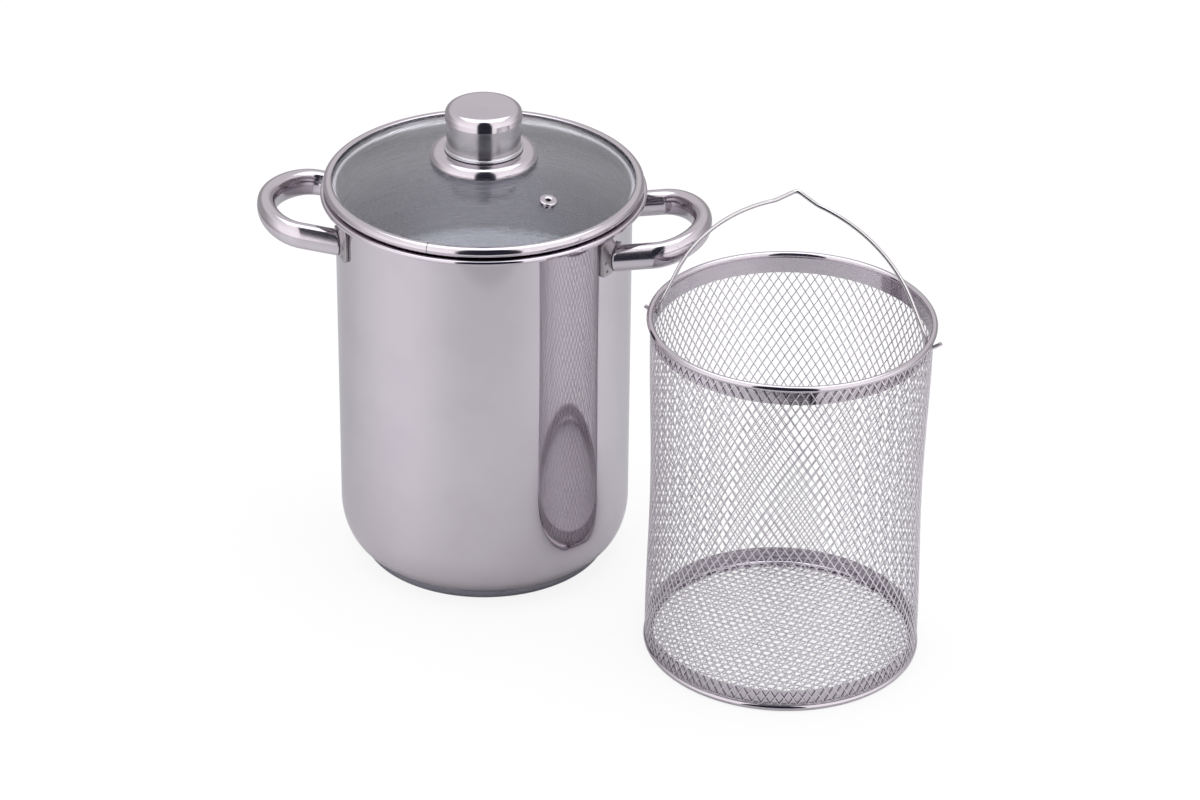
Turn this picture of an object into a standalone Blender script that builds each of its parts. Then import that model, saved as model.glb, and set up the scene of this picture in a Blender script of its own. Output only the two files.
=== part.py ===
"""Tall steel pot with a glass lid, two tube handles and a mesh basket that lifts out on a wire bail.

Metres, +Z up. The origin is the centre of the pot's underside, on the table. The handles lie along X.
The basket stands beside the pot, towards +X and -Y.
"""

import math

import bmesh
import bpy
from mathutils import Matrix, Vector

# Clearances and cutters
GAP = 0.0003                    # left between pieces that touch
CUT_OVERRUN = 0.0020            # how far a cutter runs past what it cuts
AXIS_MERGE = 0.00001            # points nearer than this are one point

# Pot shell
WALL_RADIUS = 0.0800            # outside of the straight wall
WALL_SHEET = 0.0007
POT_HEIGHT = 0.2183             # table to the flat rim
RIM_WIDTH = 0.0078              # wall to the rim's outer edge
RIM_BEND = 0.0026               # outer bend between wall and rim
RIM_EDGE_BEND = 0.0012
RIM_EDGE_DROP = 0.0024          # depth of the turned-down edge
CORNER_WIDTH = 0.0146           # bottom corner, measured inwards
CORNER_HEIGHT = 0.0250          # bottom corner, measured upwards

# Heat-spreading base
BASE_INSET = 0.0118             # wall to the side of the base
BASE_SHEET = 0.0006
BASE_EDGE_BEND = 0.0022
CORE_THICKNESS = 0.00365

# Tube handles
HANDLE_SPREAD = 0.0319          # leg centre line to handle centre line
HANDLE_OUT = 0.0380             # wall to the centre of the tube at the tip
HANDLE_STRAIGHT = 0.0146        # wall to where the legs start to bend
HANDLE_DEPTH = 0.0222           # rim down to the leg's centre line at the wall
HANDLE_RISE = 0.0064            # wall to tip
TUBE_WIDTH = 0.0104
TUBE_HEIGHT = 0.0146
TUBE_SHEET = 0.0010
TUBE_SQUARENESS = 2.8           # exponent of the rounded section
BEND_SQUARENESS = 1.85          # exponent of the bend seen from above

# Handle brackets, measured from the leg's centre line at the wall
BRACKET_SHEET = 0.0014
BRACKET_OUTSIDE = 0.0117        # to the plate's edge away from the handle
BRACKET_INSIDE = 0.0057         # to the plate's edge under the handle
BRACKET_BELOW = 0.0066
BRACKET_ABOVE = 0.0143
BRACKET_CORNER = 0.0030
EAR_INSET = 0.0033              # to the inner corner of the raised ear
EAR_SLANT = 0.0040              # how far the ear's slanting edge runs inwards
EAR_DROP = 0.0066               # top of the ear to the plate's lower top edge
SPIGOT_LENGTH = 0.0090          # how far the bracket's spigot reaches into the tube

# Glass lid
GLASS_THICKNESS = 0.0032
GLASS_EDGE_BEVEL = 0.0007
GLASS_EDGE_REACH = 0.0003       # the edge reaches this far past the bead's centre
GLASS_SEAT_DROP = 0.00045       # middle of the edge below the bead's centre
DOME_RADIUS = 0.2420
DOME_STATION_SHARES = (0.0, 0.30, 0.64, 1.0)
BEAD_INSET = 0.0045             # the rim's outer edge to the bead's centre
BEAD_SEAL = 0.0009              # room left for the seal above and below the glass
RING_SHEET = 0.0005
RING_SKIRT_CLEARANCE = 0.0005   # to the inside of the wall
RING_SKIRT_DEPTH = 0.0036
RING_BEND = 0.0005
RING_LIP_ANGLE = 127            # degrees round the bead where its upper lip ends

# Steam vent
VENT_SHARE = 0.6543             # how far out on the glass the vent sits
VENT_ANGLE = math.radians(-44.5)
VENT_HEAD_RADIUS = 0.0047
VENT_HEAD_HEIGHT = 0.0011
VENT_SHANK_RADIUS = 0.0026
VENT_BORE_RADIUS = 0.0015
VENT_TAIL_RADIUS = 0.0037
VENT_TAIL_HEIGHT = 0.0008

# Knob, from the glass up
KNOB_SHEET = 0.0008
SKIRT_RADIUS = 0.0291
SKIRT_TUCK = 0.0001             # how far the foot is drawn in under the bulge
SKIRT_HEIGHT = 0.0059
SKIRT_BULGE_RISE = 0.0007       # foot to the widest point
SKIRT_SHOULDER_WIDTH = 0.0047
SKIRT_SHOULDER_DROP = 0.0001
FOOT_FLARE = 0.0016             # waist to the rim of the neck's foot
FOOT_THICKNESS = 0.0008
NECK_WAIST_RADIUS = 0.0196
NECK_BEND = 0.0011
NECK_TAPER = 0.0004             # how much wider the neck is at the cap
NECK_HEIGHT = 0.0164
CAP_OVERHANG = 0.0008           # neck to the outside of the cap
CAP_HEIGHT = 0.0073
CAP_BEND = 0.0042
CAP_LAP = 0.0030                # how far the neck runs up inside the cap
INSERT_RADIUS = 0.0075
INSERT_PLATE_THICKNESS = 0.0040
INSERT_ABOVE_PLATE = 0.0060
SCREW_RADIUS = 0.0024
SCREW_REACH = 0.0150            # how far the screw stands above the glass
SCREW_HOLE_CLEARANCE = 0.0006
SCREW_HEAD_RADIUS = 0.0050
SCREW_HEAD_HEIGHT = 0.0026
WASHER_RADIUS = 0.0080
WASHER_THICKNESS = 0.0008
GASKET_RADIUS = 0.0092
GASKET_THICKNESS = 0.0012

# Basket
BASKET_CLEARANCE = 0.0038       # between the basket and the pot's wall when it stands inside
BASKET_BELOW_RIM = 0.0223       # the basket is this much lower than the pot
BASKET_GAP = 0.0007             # to the square corner of the handle beside it
BASKET_DIRECTION = math.radians(-45.0)
BASKET_TURN = math.radians(-8.3)
BASKET_BEAD = 0.00175           # section radius of both rolled beads
BAND_INSET = 0.00135            # top bead's centre to the outside of the bands
BAND_SHEET = 0.0006
TOP_BAND_DEPTH = 0.0115
FOOT_BAND_HEIGHT = 0.0120
FOOT_LEDGE_WIDTH = 0.0030
FOOT_LEDGE_HEIGHT = 0.0020
MESH_SHEET = 0.0008
MESH_STRAND = 0.0017            # strand width
MESH_SELVEDGE = 0.0017          # plain strip along the sleeve's lower end
MESH_WAIST = 0.0016             # how far the sleeve draws in between the two bands
MESH_AROUND = 22
MESH_ROWS = 11
FLOOR_CELL_WIDTH = 0.0205
FLOOR_CELL_LENGTH = 0.0330
FLOOR_TURN = math.radians(24)
FLOOR_MARGIN = 0.0040           # plain strip round the floor's edge
FLOOR_SMALLEST_SHARE = 0.25     # smallest part of a cell that is still cut

# Bail
WIRE_RADIUS = 0.00105
BAIL_PIVOT_DEPTH = 0.0072       # below the basket's top
BAIL_LEG_CLEARANCE = 0.00055    # wire to the inside of the band
BAIL_RISE = 0.0798              # pivot to the peak
BAIL_PEAK_WIDTH = 0.0110        # half the width of the pointed hook rest
BAIL_PEAK_DEPTH = 0.0065
BAIL_ARC_RADIUS = 0.0860
BAIL_LEG_STRAIGHT = 0.0040      # pivot to where the leg starts to lean in
BAIL_LEG_LEAN = math.radians(22.5)
BAIL_ELBOW_RADIUS = 0.0050      # bend between the upright and the leaning part of a leg
BAIL_BEND = 0.0022
BAIL_TIP_OUT = 0.0050           # how far the tip stands out past the mesh
BAIL_TIP_RISE = 0.0028
BAIL_HOLE_CLEARANCE = 0.00055

# Facets
POT_STEPS = 40
LID_STEPS = 36
BASKET_STEPS = 36
KNOB_STEPS = 24
SMALL_STEPS = 16
TUBE_STEPS = 14

# Heights and radii that follow from the sizes above
RIM_RADIUS = WALL_RADIUS + RIM_WIDTH
WALL_INSIDE = WALL_RADIUS - WALL_SHEET
SHELL_UNDERSIDE = BASE_SHEET + CORE_THICKNESS + 2 * GAP
LEG_HEIGHT = POT_HEIGHT - HANDLE_DEPTH
HANDLE_REACH = WALL_RADIUS + HANDLE_OUT
BEAD_RADIUS = GLASS_THICKNESS / 2 + BEAD_SEAL + RING_SHEET
BEAD_CENTRE = RIM_RADIUS - BEAD_INSET
BEAD_HEIGHT = POT_HEIGHT + GAP + BEAD_RADIUS
GLASS_EDGE_RADIUS = BEAD_CENTRE + GLASS_EDGE_REACH
GLASS_EDGE_TOP = BEAD_HEIGHT - GLASS_SEAT_DROP + GLASS_THICKNESS / 2
GLASS_TOP = GLASS_EDGE_TOP + GLASS_EDGE_RADIUS ** 2 / (2 * DOME_RADIUS)
VENT_DISTANCE = GLASS_EDGE_RADIUS * VENT_SHARE
BASKET_RADIUS = WALL_INSIDE - BASKET_CLEARANCE
BASKET_TOP = POT_HEIGHT - BASKET_BELOW_RIM
TOP_BEAD_CENTRE = BASKET_RADIUS - BASKET_BEAD
BAND_RADIUS = TOP_BEAD_CENTRE - BAND_INSET
BAND_INSIDE = BAND_RADIUS - BAND_SHEET
SLEEVE_RADIUS = (BAND_RADIUS + GAP) / math.cos(math.pi / (2 * MESH_AROUND)) + MESH_SHEET
PIVOT_HEIGHT = BASKET_TOP - BAIL_PIVOT_DEPTH

STEEL = (0.56, 0.53, 0.56)
STEEL_SATIN = (0.50, 0.49, 0.51)
ALUMINIUM = (0.62, 0.63, 0.66)


def clear_scene():
    for obj in list(bpy.data.objects):
        bpy.data.objects.remove(obj)


def make_material(name, colour, roughness, metallic, alpha=1.0):
    material = bpy.data.materials.new(name)
    material.use_nodes = True
    shader = material.node_tree.nodes["Principled BSDF"]
    shader.inputs["Base Color"].default_value = (*colour, 1.0)
    shader.inputs["Roughness"].default_value = roughness
    shader.inputs["Metallic"].default_value = metallic
    shader.inputs["Alpha"].default_value = alpha
    return material


def add_object(name, mesh, material, parent=None):
    obj = bpy.data.objects.new(name, mesh)
    obj.data.materials.append(material)
    bpy.context.collection.objects.link(obj)
    obj.parent = parent
    return obj


def add_empty(name, location, turn=0.0, parent=None):
    empty = bpy.data.objects.new(name, None)
    empty.location = location
    empty.rotation_euler = (0.0, 0.0, turn)
    bpy.context.collection.objects.link(empty)
    empty.parent = parent
    return empty


def mesh_from(bm, name, sharp_angle=40.0):
    bmesh.ops.remove_doubles(bm, verts=bm.verts, dist=AXIS_MERGE)
    bmesh.ops.recalc_face_normals(bm, faces=bm.faces)
    mesh = bpy.data.meshes.new(name)
    bm.to_mesh(mesh)
    bm.free()
    mesh.shade_smooth()
    mesh.set_sharp_from_angle(angle=math.radians(sharp_angle))
    return mesh


def arc(centre, radii, start, end, count):
    """Points of an ellipse's arc in the (radius, height) plane, from start to end in degrees."""
    points = []
    for i in range(count):
        angle = math.radians(start + (end - start) * i / (count - 1))
        points.append((centre[0] + radii[0] * math.cos(angle), centre[1] + radii[1] * math.sin(angle)))
    return points


def turned(name, profile, steps, material, closed=True, parent=None):
    """A body turned about Z from (radius, height) points. An open profile starts and ends on the axis."""
    bm = bmesh.new()
    verts = [bm.verts.new((radius, 0.0, height)) for radius, height in profile]
    edges = [bm.edges.new(pair) for pair in zip(verts, verts[1:])]
    if closed:
        edges.append(bm.edges.new((verts[-1], verts[0])))
    bmesh.ops.spin(
        bm,
        geom=verts + edges,
        axis=(0.0, 0.0, 1.0),
        cent=(0.0, 0.0, 0.0),
        angle=math.tau,
        steps=steps,
        use_merge=True,
    )
    return add_object(name, mesh_from(bm, name), material, parent)


def cylinder_mesh(name, radius, low, high, steps):
    bm = bmesh.new()
    bmesh.ops.create_cone(
        bm,
        cap_ends=True,
        segments=steps,
        radius1=radius,
        radius2=radius,
        depth=high - low,
        matrix=Matrix.Translation((0.0, 0.0, (low + high) / 2)),
    )
    return mesh_from(bm, name)


def cylinder_cutter(name, radius, low, high, placed, steps=SMALL_STEPS):
    mesh = cylinder_mesh(name, radius, low, high, steps)
    cutter = add_object(name, mesh, make_material(name, STEEL, 0.5, 0.0))
    cutter.matrix_world = placed
    cutter.hide_render = True
    cutter.display_type = "WIRE"
    return cutter


def cut(obj, cutter):
    modifier = obj.modifiers.new(cutter.name, "BOOLEAN")
    modifier.operation = "DIFFERENCE"
    modifier.solver = "EXACT"
    modifier.object = cutter


def rounded_section(width, height, count):
    """A rounded-rectangle section as (sideways, up) points."""
    power = 2.0 / TUBE_SQUARENESS
    points = []
    for i in range(count):
        angle = math.tau * i / count
        c, s = math.cos(angle), math.sin(angle)
        side = math.copysign(abs(c) ** power, c) * width / 2
        up = math.copysign(abs(s) ** power, s) * height / 2
        points.append((side, up))
    return points


def loft(bm, rings, cap=True):
    """Quads between rings of equal size, with a face over each end."""
    for ring, following in zip(rings, rings[1:]):
        for i in range(len(ring)):
            j = (i + 1) % len(ring)
            bm.faces.new((ring[i], ring[j], following[j], following[i]))
    if cap:
        bm.faces.new(list(reversed(rings[0])))
        bm.faces.new(rings[-1])


def build_pot_shell(material):
    underside = SHELL_UNDERSIDE
    floor = underside + WALL_SHEET
    inner = WALL_INSIDE
    corner = (WALL_RADIUS - CORNER_WIDTH, underside + CORNER_HEIGHT)
    rim_bend = (WALL_RADIUS + RIM_BEND, POT_HEIGHT - WALL_SHEET - RIM_BEND)
    edge = (RIM_RADIUS - RIM_EDGE_BEND, POT_HEIGHT - RIM_EDGE_BEND)
    edge_inner_bend = RIM_EDGE_BEND - WALL_SHEET
    edge_bottom = POT_HEIGHT - RIM_EDGE_DROP
    inner_corner = (CORNER_WIDTH - WALL_SHEET, CORNER_HEIGHT - WALL_SHEET)
    inner_bend = RIM_BEND + WALL_SHEET
    profile = [(0.0, floor)]
    profile += arc(corner, inner_corner, -90, 0, 5)
    profile += [(inner, rim_bend[1])] + arc(rim_bend, (inner_bend, inner_bend), 180, 90, 3)[1:]
    profile += arc(edge, (RIM_EDGE_BEND, RIM_EDGE_BEND), 90, 0, 3)
    profile += [(RIM_RADIUS, edge_bottom), (RIM_RADIUS - WALL_SHEET, edge_bottom)]
    profile += arc(edge, (edge_inner_bend, edge_inner_bend), 0, 90, 2)
    profile += arc(rim_bend, (RIM_BEND, RIM_BEND), 90, 180, 3)
    profile += arc(corner, (CORNER_WIDTH, CORNER_HEIGHT), 0, -90, 8)
    profile += [(0.0, underside)]
    turned("pot_body", profile, POT_STEPS, material, closed=False)


def build_base(cover_material, core_material):
    side = WALL_RADIUS - BASE_INSET
    bend = (side - BASE_EDGE_BEND, BASE_EDGE_BEND)
    inner = side - BASE_SHEET
    inner_bend = BASE_EDGE_BEND - BASE_SHEET
    past_flat = max(inner - (WALL_RADIUS - CORNER_WIDTH), 0.0)
    shell_rise = CORNER_HEIGHT * (1 - math.sqrt(1 - (past_flat / CORNER_WIDTH) ** 2))
    seam = SHELL_UNDERSIDE + shell_rise - GAP
    profile = [(0.0, BASE_SHEET)]
    profile += arc(bend, (inner_bend, inner_bend), -90, 0, 2)
    profile += [(inner, seam), (side, seam)]
    profile += arc(bend, (BASE_EDGE_BEND, BASE_EDGE_BEND), 0, -90, 4)
    profile += [(0.0, 0.0)]
    turned("base_cover", profile, POT_STEPS, cover_material, closed=False)

    core_radius = side - BASE_EDGE_BEND - GAP
    core_top = SHELL_UNDERSIDE - GAP
    core_bottom = BASE_SHEET + GAP
    core = [(0.0, core_top), (core_radius, core_top), (core_radius, core_bottom), (0.0, core_bottom)]
    turned("base_core", core, POT_STEPS, core_material, closed=False)


def leg_start():
    """Where a leg's centre line meets the wall, measured from the pot's axis along the handle."""
    return math.sqrt(WALL_RADIUS ** 2 - HANDLE_SPREAD ** 2)


def tube_height(x):
    """Height of the tube's centre line, which rises from the wall to the tip."""
    return LEG_HEIGHT + HANDLE_RISE * (x - leg_start()) / (HANDLE_REACH - leg_start())


def handle_path(count_leg=2, count_bend=13):
    """The tube's centre line, from one leg's end round the tip to the other's."""
    power = 2.0 / BEND_SQUARENESS
    start = leg_start()
    straight = WALL_RADIUS + HANDLE_STRAIGHT
    leg = [start + (straight - start) * i / count_leg for i in range(count_leg)]
    points = [(x, HANDLE_SPREAD) for x in leg]
    for i in range(count_bend):
        angle = math.pi * (0.5 - i / (count_bend - 1))
        c, s = max(math.cos(angle), 0.0), math.sin(angle)
        x = straight + (HANDLE_REACH - straight) * c ** power
        y = HANDLE_SPREAD * math.copysign(abs(s) ** power, s)
        points.append((x, y))
    points += [(x, -HANDLE_SPREAD) for x in reversed(leg)]
    return [Vector((x, y, tube_height(x))) for x, y in points]


def section_ring(bm, path, index, section, end_radius=None):
    """One ring of the tube. At an end, the ring is cut to a cylinder of end_radius about the pot's axis."""
    before, after = path[max(index - 1, 0)], path[min(index + 1, len(path) - 1)]
    along = after - before
    along.z = 0.0
    along.normalize()
    side = Vector((along.y, -along.x, 0.0))
    ring = []
    for sideways, up in section:
        point = path[index] + side * sideways + Vector((0.0, 0.0, up))
        if end_radius:
            point.x = math.sqrt(end_radius ** 2 - point.y ** 2)
            point.z = tube_height(point.x) + up
        ring.append(bm.verts.new(point))
    return ring


def build_handle(name, turn, material):
    path = handle_path()
    last = len(path) - 1
    end_radius = WALL_RADIUS + GAP + BRACKET_SHEET + GAP
    outer_section = rounded_section(TUBE_WIDTH, TUBE_HEIGHT, TUBE_STEPS)
    inner_section = rounded_section(TUBE_WIDTH - 2 * TUBE_SHEET, TUBE_HEIGHT - 2 * TUBE_SHEET, TUBE_STEPS)
    bm = bmesh.new()
    shells = []
    for section in (outer_section, inner_section):
        rings = [
            section_ring(bm, path, i, section, end_radius if i in (0, last) else None)
            for i in range(len(path))
        ]
        loft(bm, rings, cap=False)
        shells.append(rings)
    for end in (0, last):
        outer, inner = shells[0][end], shells[1][end]
        for i in range(len(outer)):
            j = (i + 1) % len(outer)
            bm.faces.new((outer[i], outer[j], inner[j], inner[i]))
    obj = add_object(name, mesh_from(bm, name), material)
    obj.rotation_euler = (0.0, 0.0, turn)


def bracket_outline(side):
    """The plate's outline as (sideways, height) points. Side is -1 or +1, for the handle's two legs."""
    c = BRACKET_CORNER
    outer = HANDLE_SPREAD + BRACKET_OUTSIDE
    inner = HANDLE_SPREAD - BRACKET_INSIDE
    ear = HANDLE_SPREAD + EAR_INSET
    bottom, top = LEG_HEIGHT - BRACKET_BELOW, LEG_HEIGHT + BRACKET_ABOVE
    points = [(inner, bottom)]
    points += arc((outer - c, bottom + c), (c, c), -90, 0, 4)
    points += arc((outer - c, top - c), (c, c), 0, 90, 4)
    points += [(ear, top), (ear - EAR_SLANT, top - EAR_DROP), (inner, top - EAR_DROP)]
    return [(side * sideways, height) for sideways, height in points]


def build_bracket(name, turn, side, material):
    inner_radius = WALL_RADIUS + GAP
    bm = bmesh.new()
    bm.faces.new([bm.verts.new((0.0, y, z)) for y, z in bracket_outline(side)])
    columns = 4
    for i in range(1, columns):
        y = side * (HANDLE_SPREAD - BRACKET_INSIDE + (BRACKET_INSIDE + BRACKET_OUTSIDE) * i / columns)
        bmesh.ops.bisect_plane(
            bm,
            geom=bm.verts[:] + bm.edges[:] + bm.faces[:],
            plane_co=(0.0, y, 0.0),
            plane_no=(0.0, 1.0, 0.0),
        )
    raised = bmesh.ops.extrude_face_region(bm, geom=bm.faces[:])
    lifted = [item for item in raised["geom"] if isinstance(item, bmesh.types.BMVert)]
    bmesh.ops.translate(bm, verts=lifted, vec=(BRACKET_SHEET, 0.0, 0.0))
    for vert in bm.verts:
        angle = math.asin(vert.co.y / inner_radius)
        radius = inner_radius + vert.co.x
        vert.co.x = radius * math.cos(angle)
        vert.co.y = radius * math.sin(angle)
    plate = add_object(name, mesh_from(bm, name), material)
    plate.rotation_euler = (0.0, 0.0, turn)

    fit = 2 * (TUBE_SHEET + GAP)
    section = rounded_section(TUBE_WIDTH - fit, TUBE_HEIGHT - fit, TUBE_STEPS)
    root_radius = inner_radius + BRACKET_SHEET / 2
    spigot_end = root_radius + SPIGOT_LENGTH
    bm = bmesh.new()
    rings = []
    for end_radius in (root_radius, spigot_end):
        ring = []
        for sideways, up in section:
            y = side * HANDLE_SPREAD + sideways
            x = math.sqrt(end_radius ** 2 - y ** 2)
            ring.append(bm.verts.new((x, y, tube_height(x) + up)))
        rings.append(ring)
    loft(bm, rings)
    spigot = add_object(name + "_spigot", mesh_from(bm, name + "_spigot"), material)
    spigot.rotation_euler = plate.rotation_euler
    spigot.hide_render = True
    spigot.display_type = "WIRE"
    joined = plate.modifiers.new("spigot", "BOOLEAN")
    joined.operation = "UNION"
    joined.solver = "EXACT"
    joined.object = spigot


def dome_height(radius, lowered=0.0):
    """Height of the glass's upper face at a distance from the pot's axis."""
    return GLASS_TOP - lowered - radius ** 2 / (2 * DOME_RADIUS)


def vent_placement():
    """Where the vent's axis leaves the upper face of the glass, square to the dome."""
    tilt = math.atan(VENT_DISTANCE / DOME_RADIUS)
    spin = Matrix.Rotation(VENT_ANGLE, 4, "Z")
    lean = Matrix.Rotation(tilt, 4, "Y")
    seat = Matrix.Translation((VENT_DISTANCE, 0.0, dome_height(VENT_DISTANCE)))
    return spin @ seat @ lean


def build_glass(material, parent):
    hole = SCREW_RADIUS + SCREW_HOLE_CLEARANCE
    reach = GLASS_EDGE_RADIUS - GLASS_EDGE_BEVEL - hole
    radii = [hole + reach * share for share in DOME_STATION_SHARES]
    edge_top = dome_height(GLASS_EDGE_RADIUS, GLASS_EDGE_BEVEL)
    edge_bottom = dome_height(GLASS_EDGE_RADIUS, GLASS_THICKNESS - GLASS_EDGE_BEVEL)
    profile = [(r, dome_height(r)) for r in radii]
    profile += [(GLASS_EDGE_RADIUS, edge_top), (GLASS_EDGE_RADIUS, edge_bottom)]
    profile += [(r, dome_height(r, GLASS_THICKNESS)) for r in reversed(radii)]
    glass = turned("lid_glass", profile, LID_STEPS, material, parent=parent)
    deep = -(GLASS_THICKNESS + CUT_OVERRUN)
    vent_hole = cylinder_cutter("vent_hole", VENT_SHANK_RADIUS + GAP, deep, CUT_OVERRUN, vent_placement())
    cut(glass, vent_hole)


def build_lid_ring(material, parent):
    centre = (BEAD_CENTRE, BEAD_HEIGHT)
    underside = POT_HEIGHT + GAP
    inner_bead = BEAD_RADIUS - RING_SHEET
    skirt = WALL_INSIDE - RING_SKIRT_CLEARANCE
    bend = (skirt + RING_BEND, underside - RING_BEND)
    outer_bend = RING_BEND + RING_SHEET
    skirt_bottom = underside - RING_SKIRT_DEPTH
    skirt_inner = skirt - RING_SHEET
    profile = arc(centre, (BEAD_RADIUS, BEAD_RADIUS), RING_LIP_ANGLE, -90, 9)
    profile += arc(bend, (RING_BEND, RING_BEND), 90, 180, 2)
    profile += [(skirt, skirt_bottom), (skirt_inner, skirt_bottom)]
    profile += arc(bend, (outer_bend, outer_bend), 180, 90, 2)
    profile += arc(centre, (inner_bead, inner_bead), -90, RING_LIP_ANGLE, 6)
    turned("lid_ring", profile, LID_STEPS, material, parent=parent)


def build_vent(material, parent):
    tail_top = -(GLASS_THICKNESS + GAP)
    half_head = VENT_HEAD_HEIGHT / 2
    head = (VENT_HEAD_RADIUS - half_head, GAP + half_head)
    profile = [(VENT_BORE_RADIUS, GAP + half_head)]
    profile += [(VENT_BORE_RADIUS + half_head, GAP + VENT_HEAD_HEIGHT)]
    profile += arc(head, (half_head, half_head), 90, -90, 4)
    profile += [(VENT_SHANK_RADIUS, GAP), (VENT_SHANK_RADIUS, tail_top), (VENT_TAIL_RADIUS, tail_top)]
    profile += [(VENT_TAIL_RADIUS - half_head, tail_top - VENT_TAIL_HEIGHT)]
    profile += [(VENT_BORE_RADIUS, tail_top - VENT_TAIL_HEIGHT)]
    vent = turned("vent_eyelet", profile, SMALL_STEPS, material, parent=parent)
    vent.matrix_local = vent_placement()


def build_knob(steel, satin, insert_material, rubber, parent):
    sheet = KNOB_SHEET
    skirt_foot_radius = SKIRT_RADIUS - SKIRT_TUCK
    skirt_foot = dome_height(skirt_foot_radius) + GAP
    skirt_top = skirt_foot + SKIRT_HEIGHT
    foot_bottom = skirt_top + GAP
    foot_top = foot_bottom + FOOT_THICKNESS
    waist_height = foot_top + NECK_BEND
    neck_top_radius = NECK_WAIST_RADIUS + NECK_TAPER
    cap_bottom = foot_top + NECK_HEIGHT
    cap_top = cap_bottom + CAP_HEIGHT
    cap_radius = neck_top_radius + CAP_OVERHANG
    foot_radius = NECK_WAIST_RADIUS + FOOT_FLARE

    cap_bend = (cap_radius - CAP_BEND, cap_top - CAP_BEND)
    inner_cap_bend = CAP_BEND - sheet
    profile = [(0.0, cap_top)]
    profile += arc(cap_bend, (CAP_BEND, CAP_BEND), 90, 0, 5)
    profile += [(cap_radius, cap_bottom + sheet / 2), (cap_radius - sheet / 2, cap_bottom)]
    profile += [(cap_radius - sheet, cap_bottom)]
    profile += arc(cap_bend, (inner_cap_bend, inner_cap_bend), 0, 90, 4)
    profile += [(0.0, cap_top - sheet)]
    turned("knob_cap", profile, KNOB_STEPS, steel, closed=False, parent=parent)

    lap_radius = cap_radius - sheet - GAP
    below_cap = cap_bottom - GAP
    profile = [(lap_radius - sheet, cap_bottom + CAP_LAP), (lap_radius, cap_bottom + CAP_LAP)]
    profile += [(lap_radius, below_cap), (neck_top_radius, below_cap)]
    profile += arc((NECK_WAIST_RADIUS + NECK_BEND, waist_height), (NECK_BEND, NECK_BEND), 180, 270, 3)
    profile += [(foot_radius, foot_top), (foot_radius, foot_bottom)]
    profile += [(NECK_WAIST_RADIUS - sheet, foot_bottom), (NECK_WAIST_RADIUS - sheet, waist_height)]
    profile += [(lap_radius - sheet, below_cap - sheet)]
    turned("knob_neck", profile, KNOB_STEPS, satin, parent=parent)

    hole = INSERT_RADIUS + GAP
    shoulder = skirt_top - SKIRT_SHOULDER_DROP
    bulge = (SKIRT_RADIUS - SKIRT_SHOULDER_WIDTH, skirt_foot + SKIRT_BULGE_RISE)
    round_out = (SKIRT_SHOULDER_WIDTH, shoulder - bulge[1])
    round_in = (round_out[0] - sheet, round_out[1] - sheet)
    profile = [(hole, skirt_top), (foot_radius, skirt_top)]
    profile += arc(bulge, round_out, 90, 0, 5)
    profile += [(skirt_foot_radius, skirt_foot), (skirt_foot_radius - sheet, skirt_foot)]
    profile += arc(bulge, round_in, 0, 90, 4)
    profile += [(foot_radius, skirt_top - sheet), (hole, skirt_top - sheet)]
    turned("knob_skirt", profile, KNOB_STEPS, steel, parent=parent)

    plate_bottom = waist_height + GAP
    plate_top = plate_bottom + INSERT_PLATE_THICKNESS
    plate_radius = NECK_WAIST_RADIUS - sheet - GAP
    insert_top = plate_top + INSERT_ABOVE_PLATE
    bore = SCREW_RADIUS + GAP
    foot = GLASS_TOP + GAP
    profile = [(bore, insert_top), (INSERT_RADIUS, insert_top), (INSERT_RADIUS, plate_top)]
    profile += [(plate_radius, plate_top), (plate_radius, plate_bottom)]
    profile += [(INSERT_RADIUS, plate_bottom), (INSERT_RADIUS, foot), (bore, foot)]
    turned("knob_insert", profile, SMALL_STEPS, insert_material, parent=parent)

    gasket_top = dome_height(GASKET_RADIUS, GLASS_THICKNESS) - GAP
    gasket_bottom = gasket_top - GASKET_THICKNESS
    washer_top = gasket_bottom - GAP
    washer_bottom = washer_top - WASHER_THICKNESS
    for name, radius, top, bottom, material in (
        ("knob_gasket", GASKET_RADIUS, gasket_top, gasket_bottom, rubber),
        ("knob_washer", WASHER_RADIUS, washer_top, washer_bottom, steel),
    ):
        profile = [(bore, top), (radius, top), (radius, bottom), (bore, bottom)]
        turned(name, profile, SMALL_STEPS, material, parent=parent)

    head_top = washer_bottom - GAP
    head_bottom = head_top - SCREW_HEAD_HEIGHT
    half_head = SCREW_HEAD_HEIGHT / 2
    screw_top = GLASS_TOP + SCREW_REACH
    profile = [(0.0, screw_top), (SCREW_RADIUS, screw_top), (SCREW_RADIUS, head_top)]
    profile += [(SCREW_HEAD_RADIUS, head_top), (SCREW_HEAD_RADIUS, head_bottom + half_head)]
    profile += [(SCREW_HEAD_RADIUS - half_head, head_bottom), (0.0, head_bottom)]
    turned("knob_screw", profile, SMALL_STEPS, steel, closed=False, parent=parent)


def build_basket_rim(material, parent):
    bead = (TOP_BEAD_CENTRE, BASKET_TOP - BASKET_BEAD)
    band_bottom = BASKET_TOP - TOP_BAND_DEPTH
    profile = [(BAND_INSIDE, bead[1])]
    profile += arc(bead, (BASKET_BEAD, BASKET_BEAD), 150, -120, 8)
    profile += [(BAND_RADIUS, bead[1] - BASKET_BEAD), (BAND_RADIUS, band_bottom), (BAND_INSIDE, band_bottom)]
    rim = turned("basket_rim", profile, BASKET_STEPS, material, parent=parent)
    across = Matrix.Rotation(math.radians(90), 4, "Y")
    placed = parent.matrix_basis @ Matrix.Translation((0.0, 0.0, PIVOT_HEIGHT)) @ across
    reach = BAND_RADIUS + CUT_OVERRUN
    hole_radius = WIRE_RADIUS + BAIL_HOLE_CLEARANCE
    cut(rim, cylinder_cutter("bail_holes", hole_radius, -reach, reach, placed, steps=12))


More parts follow.
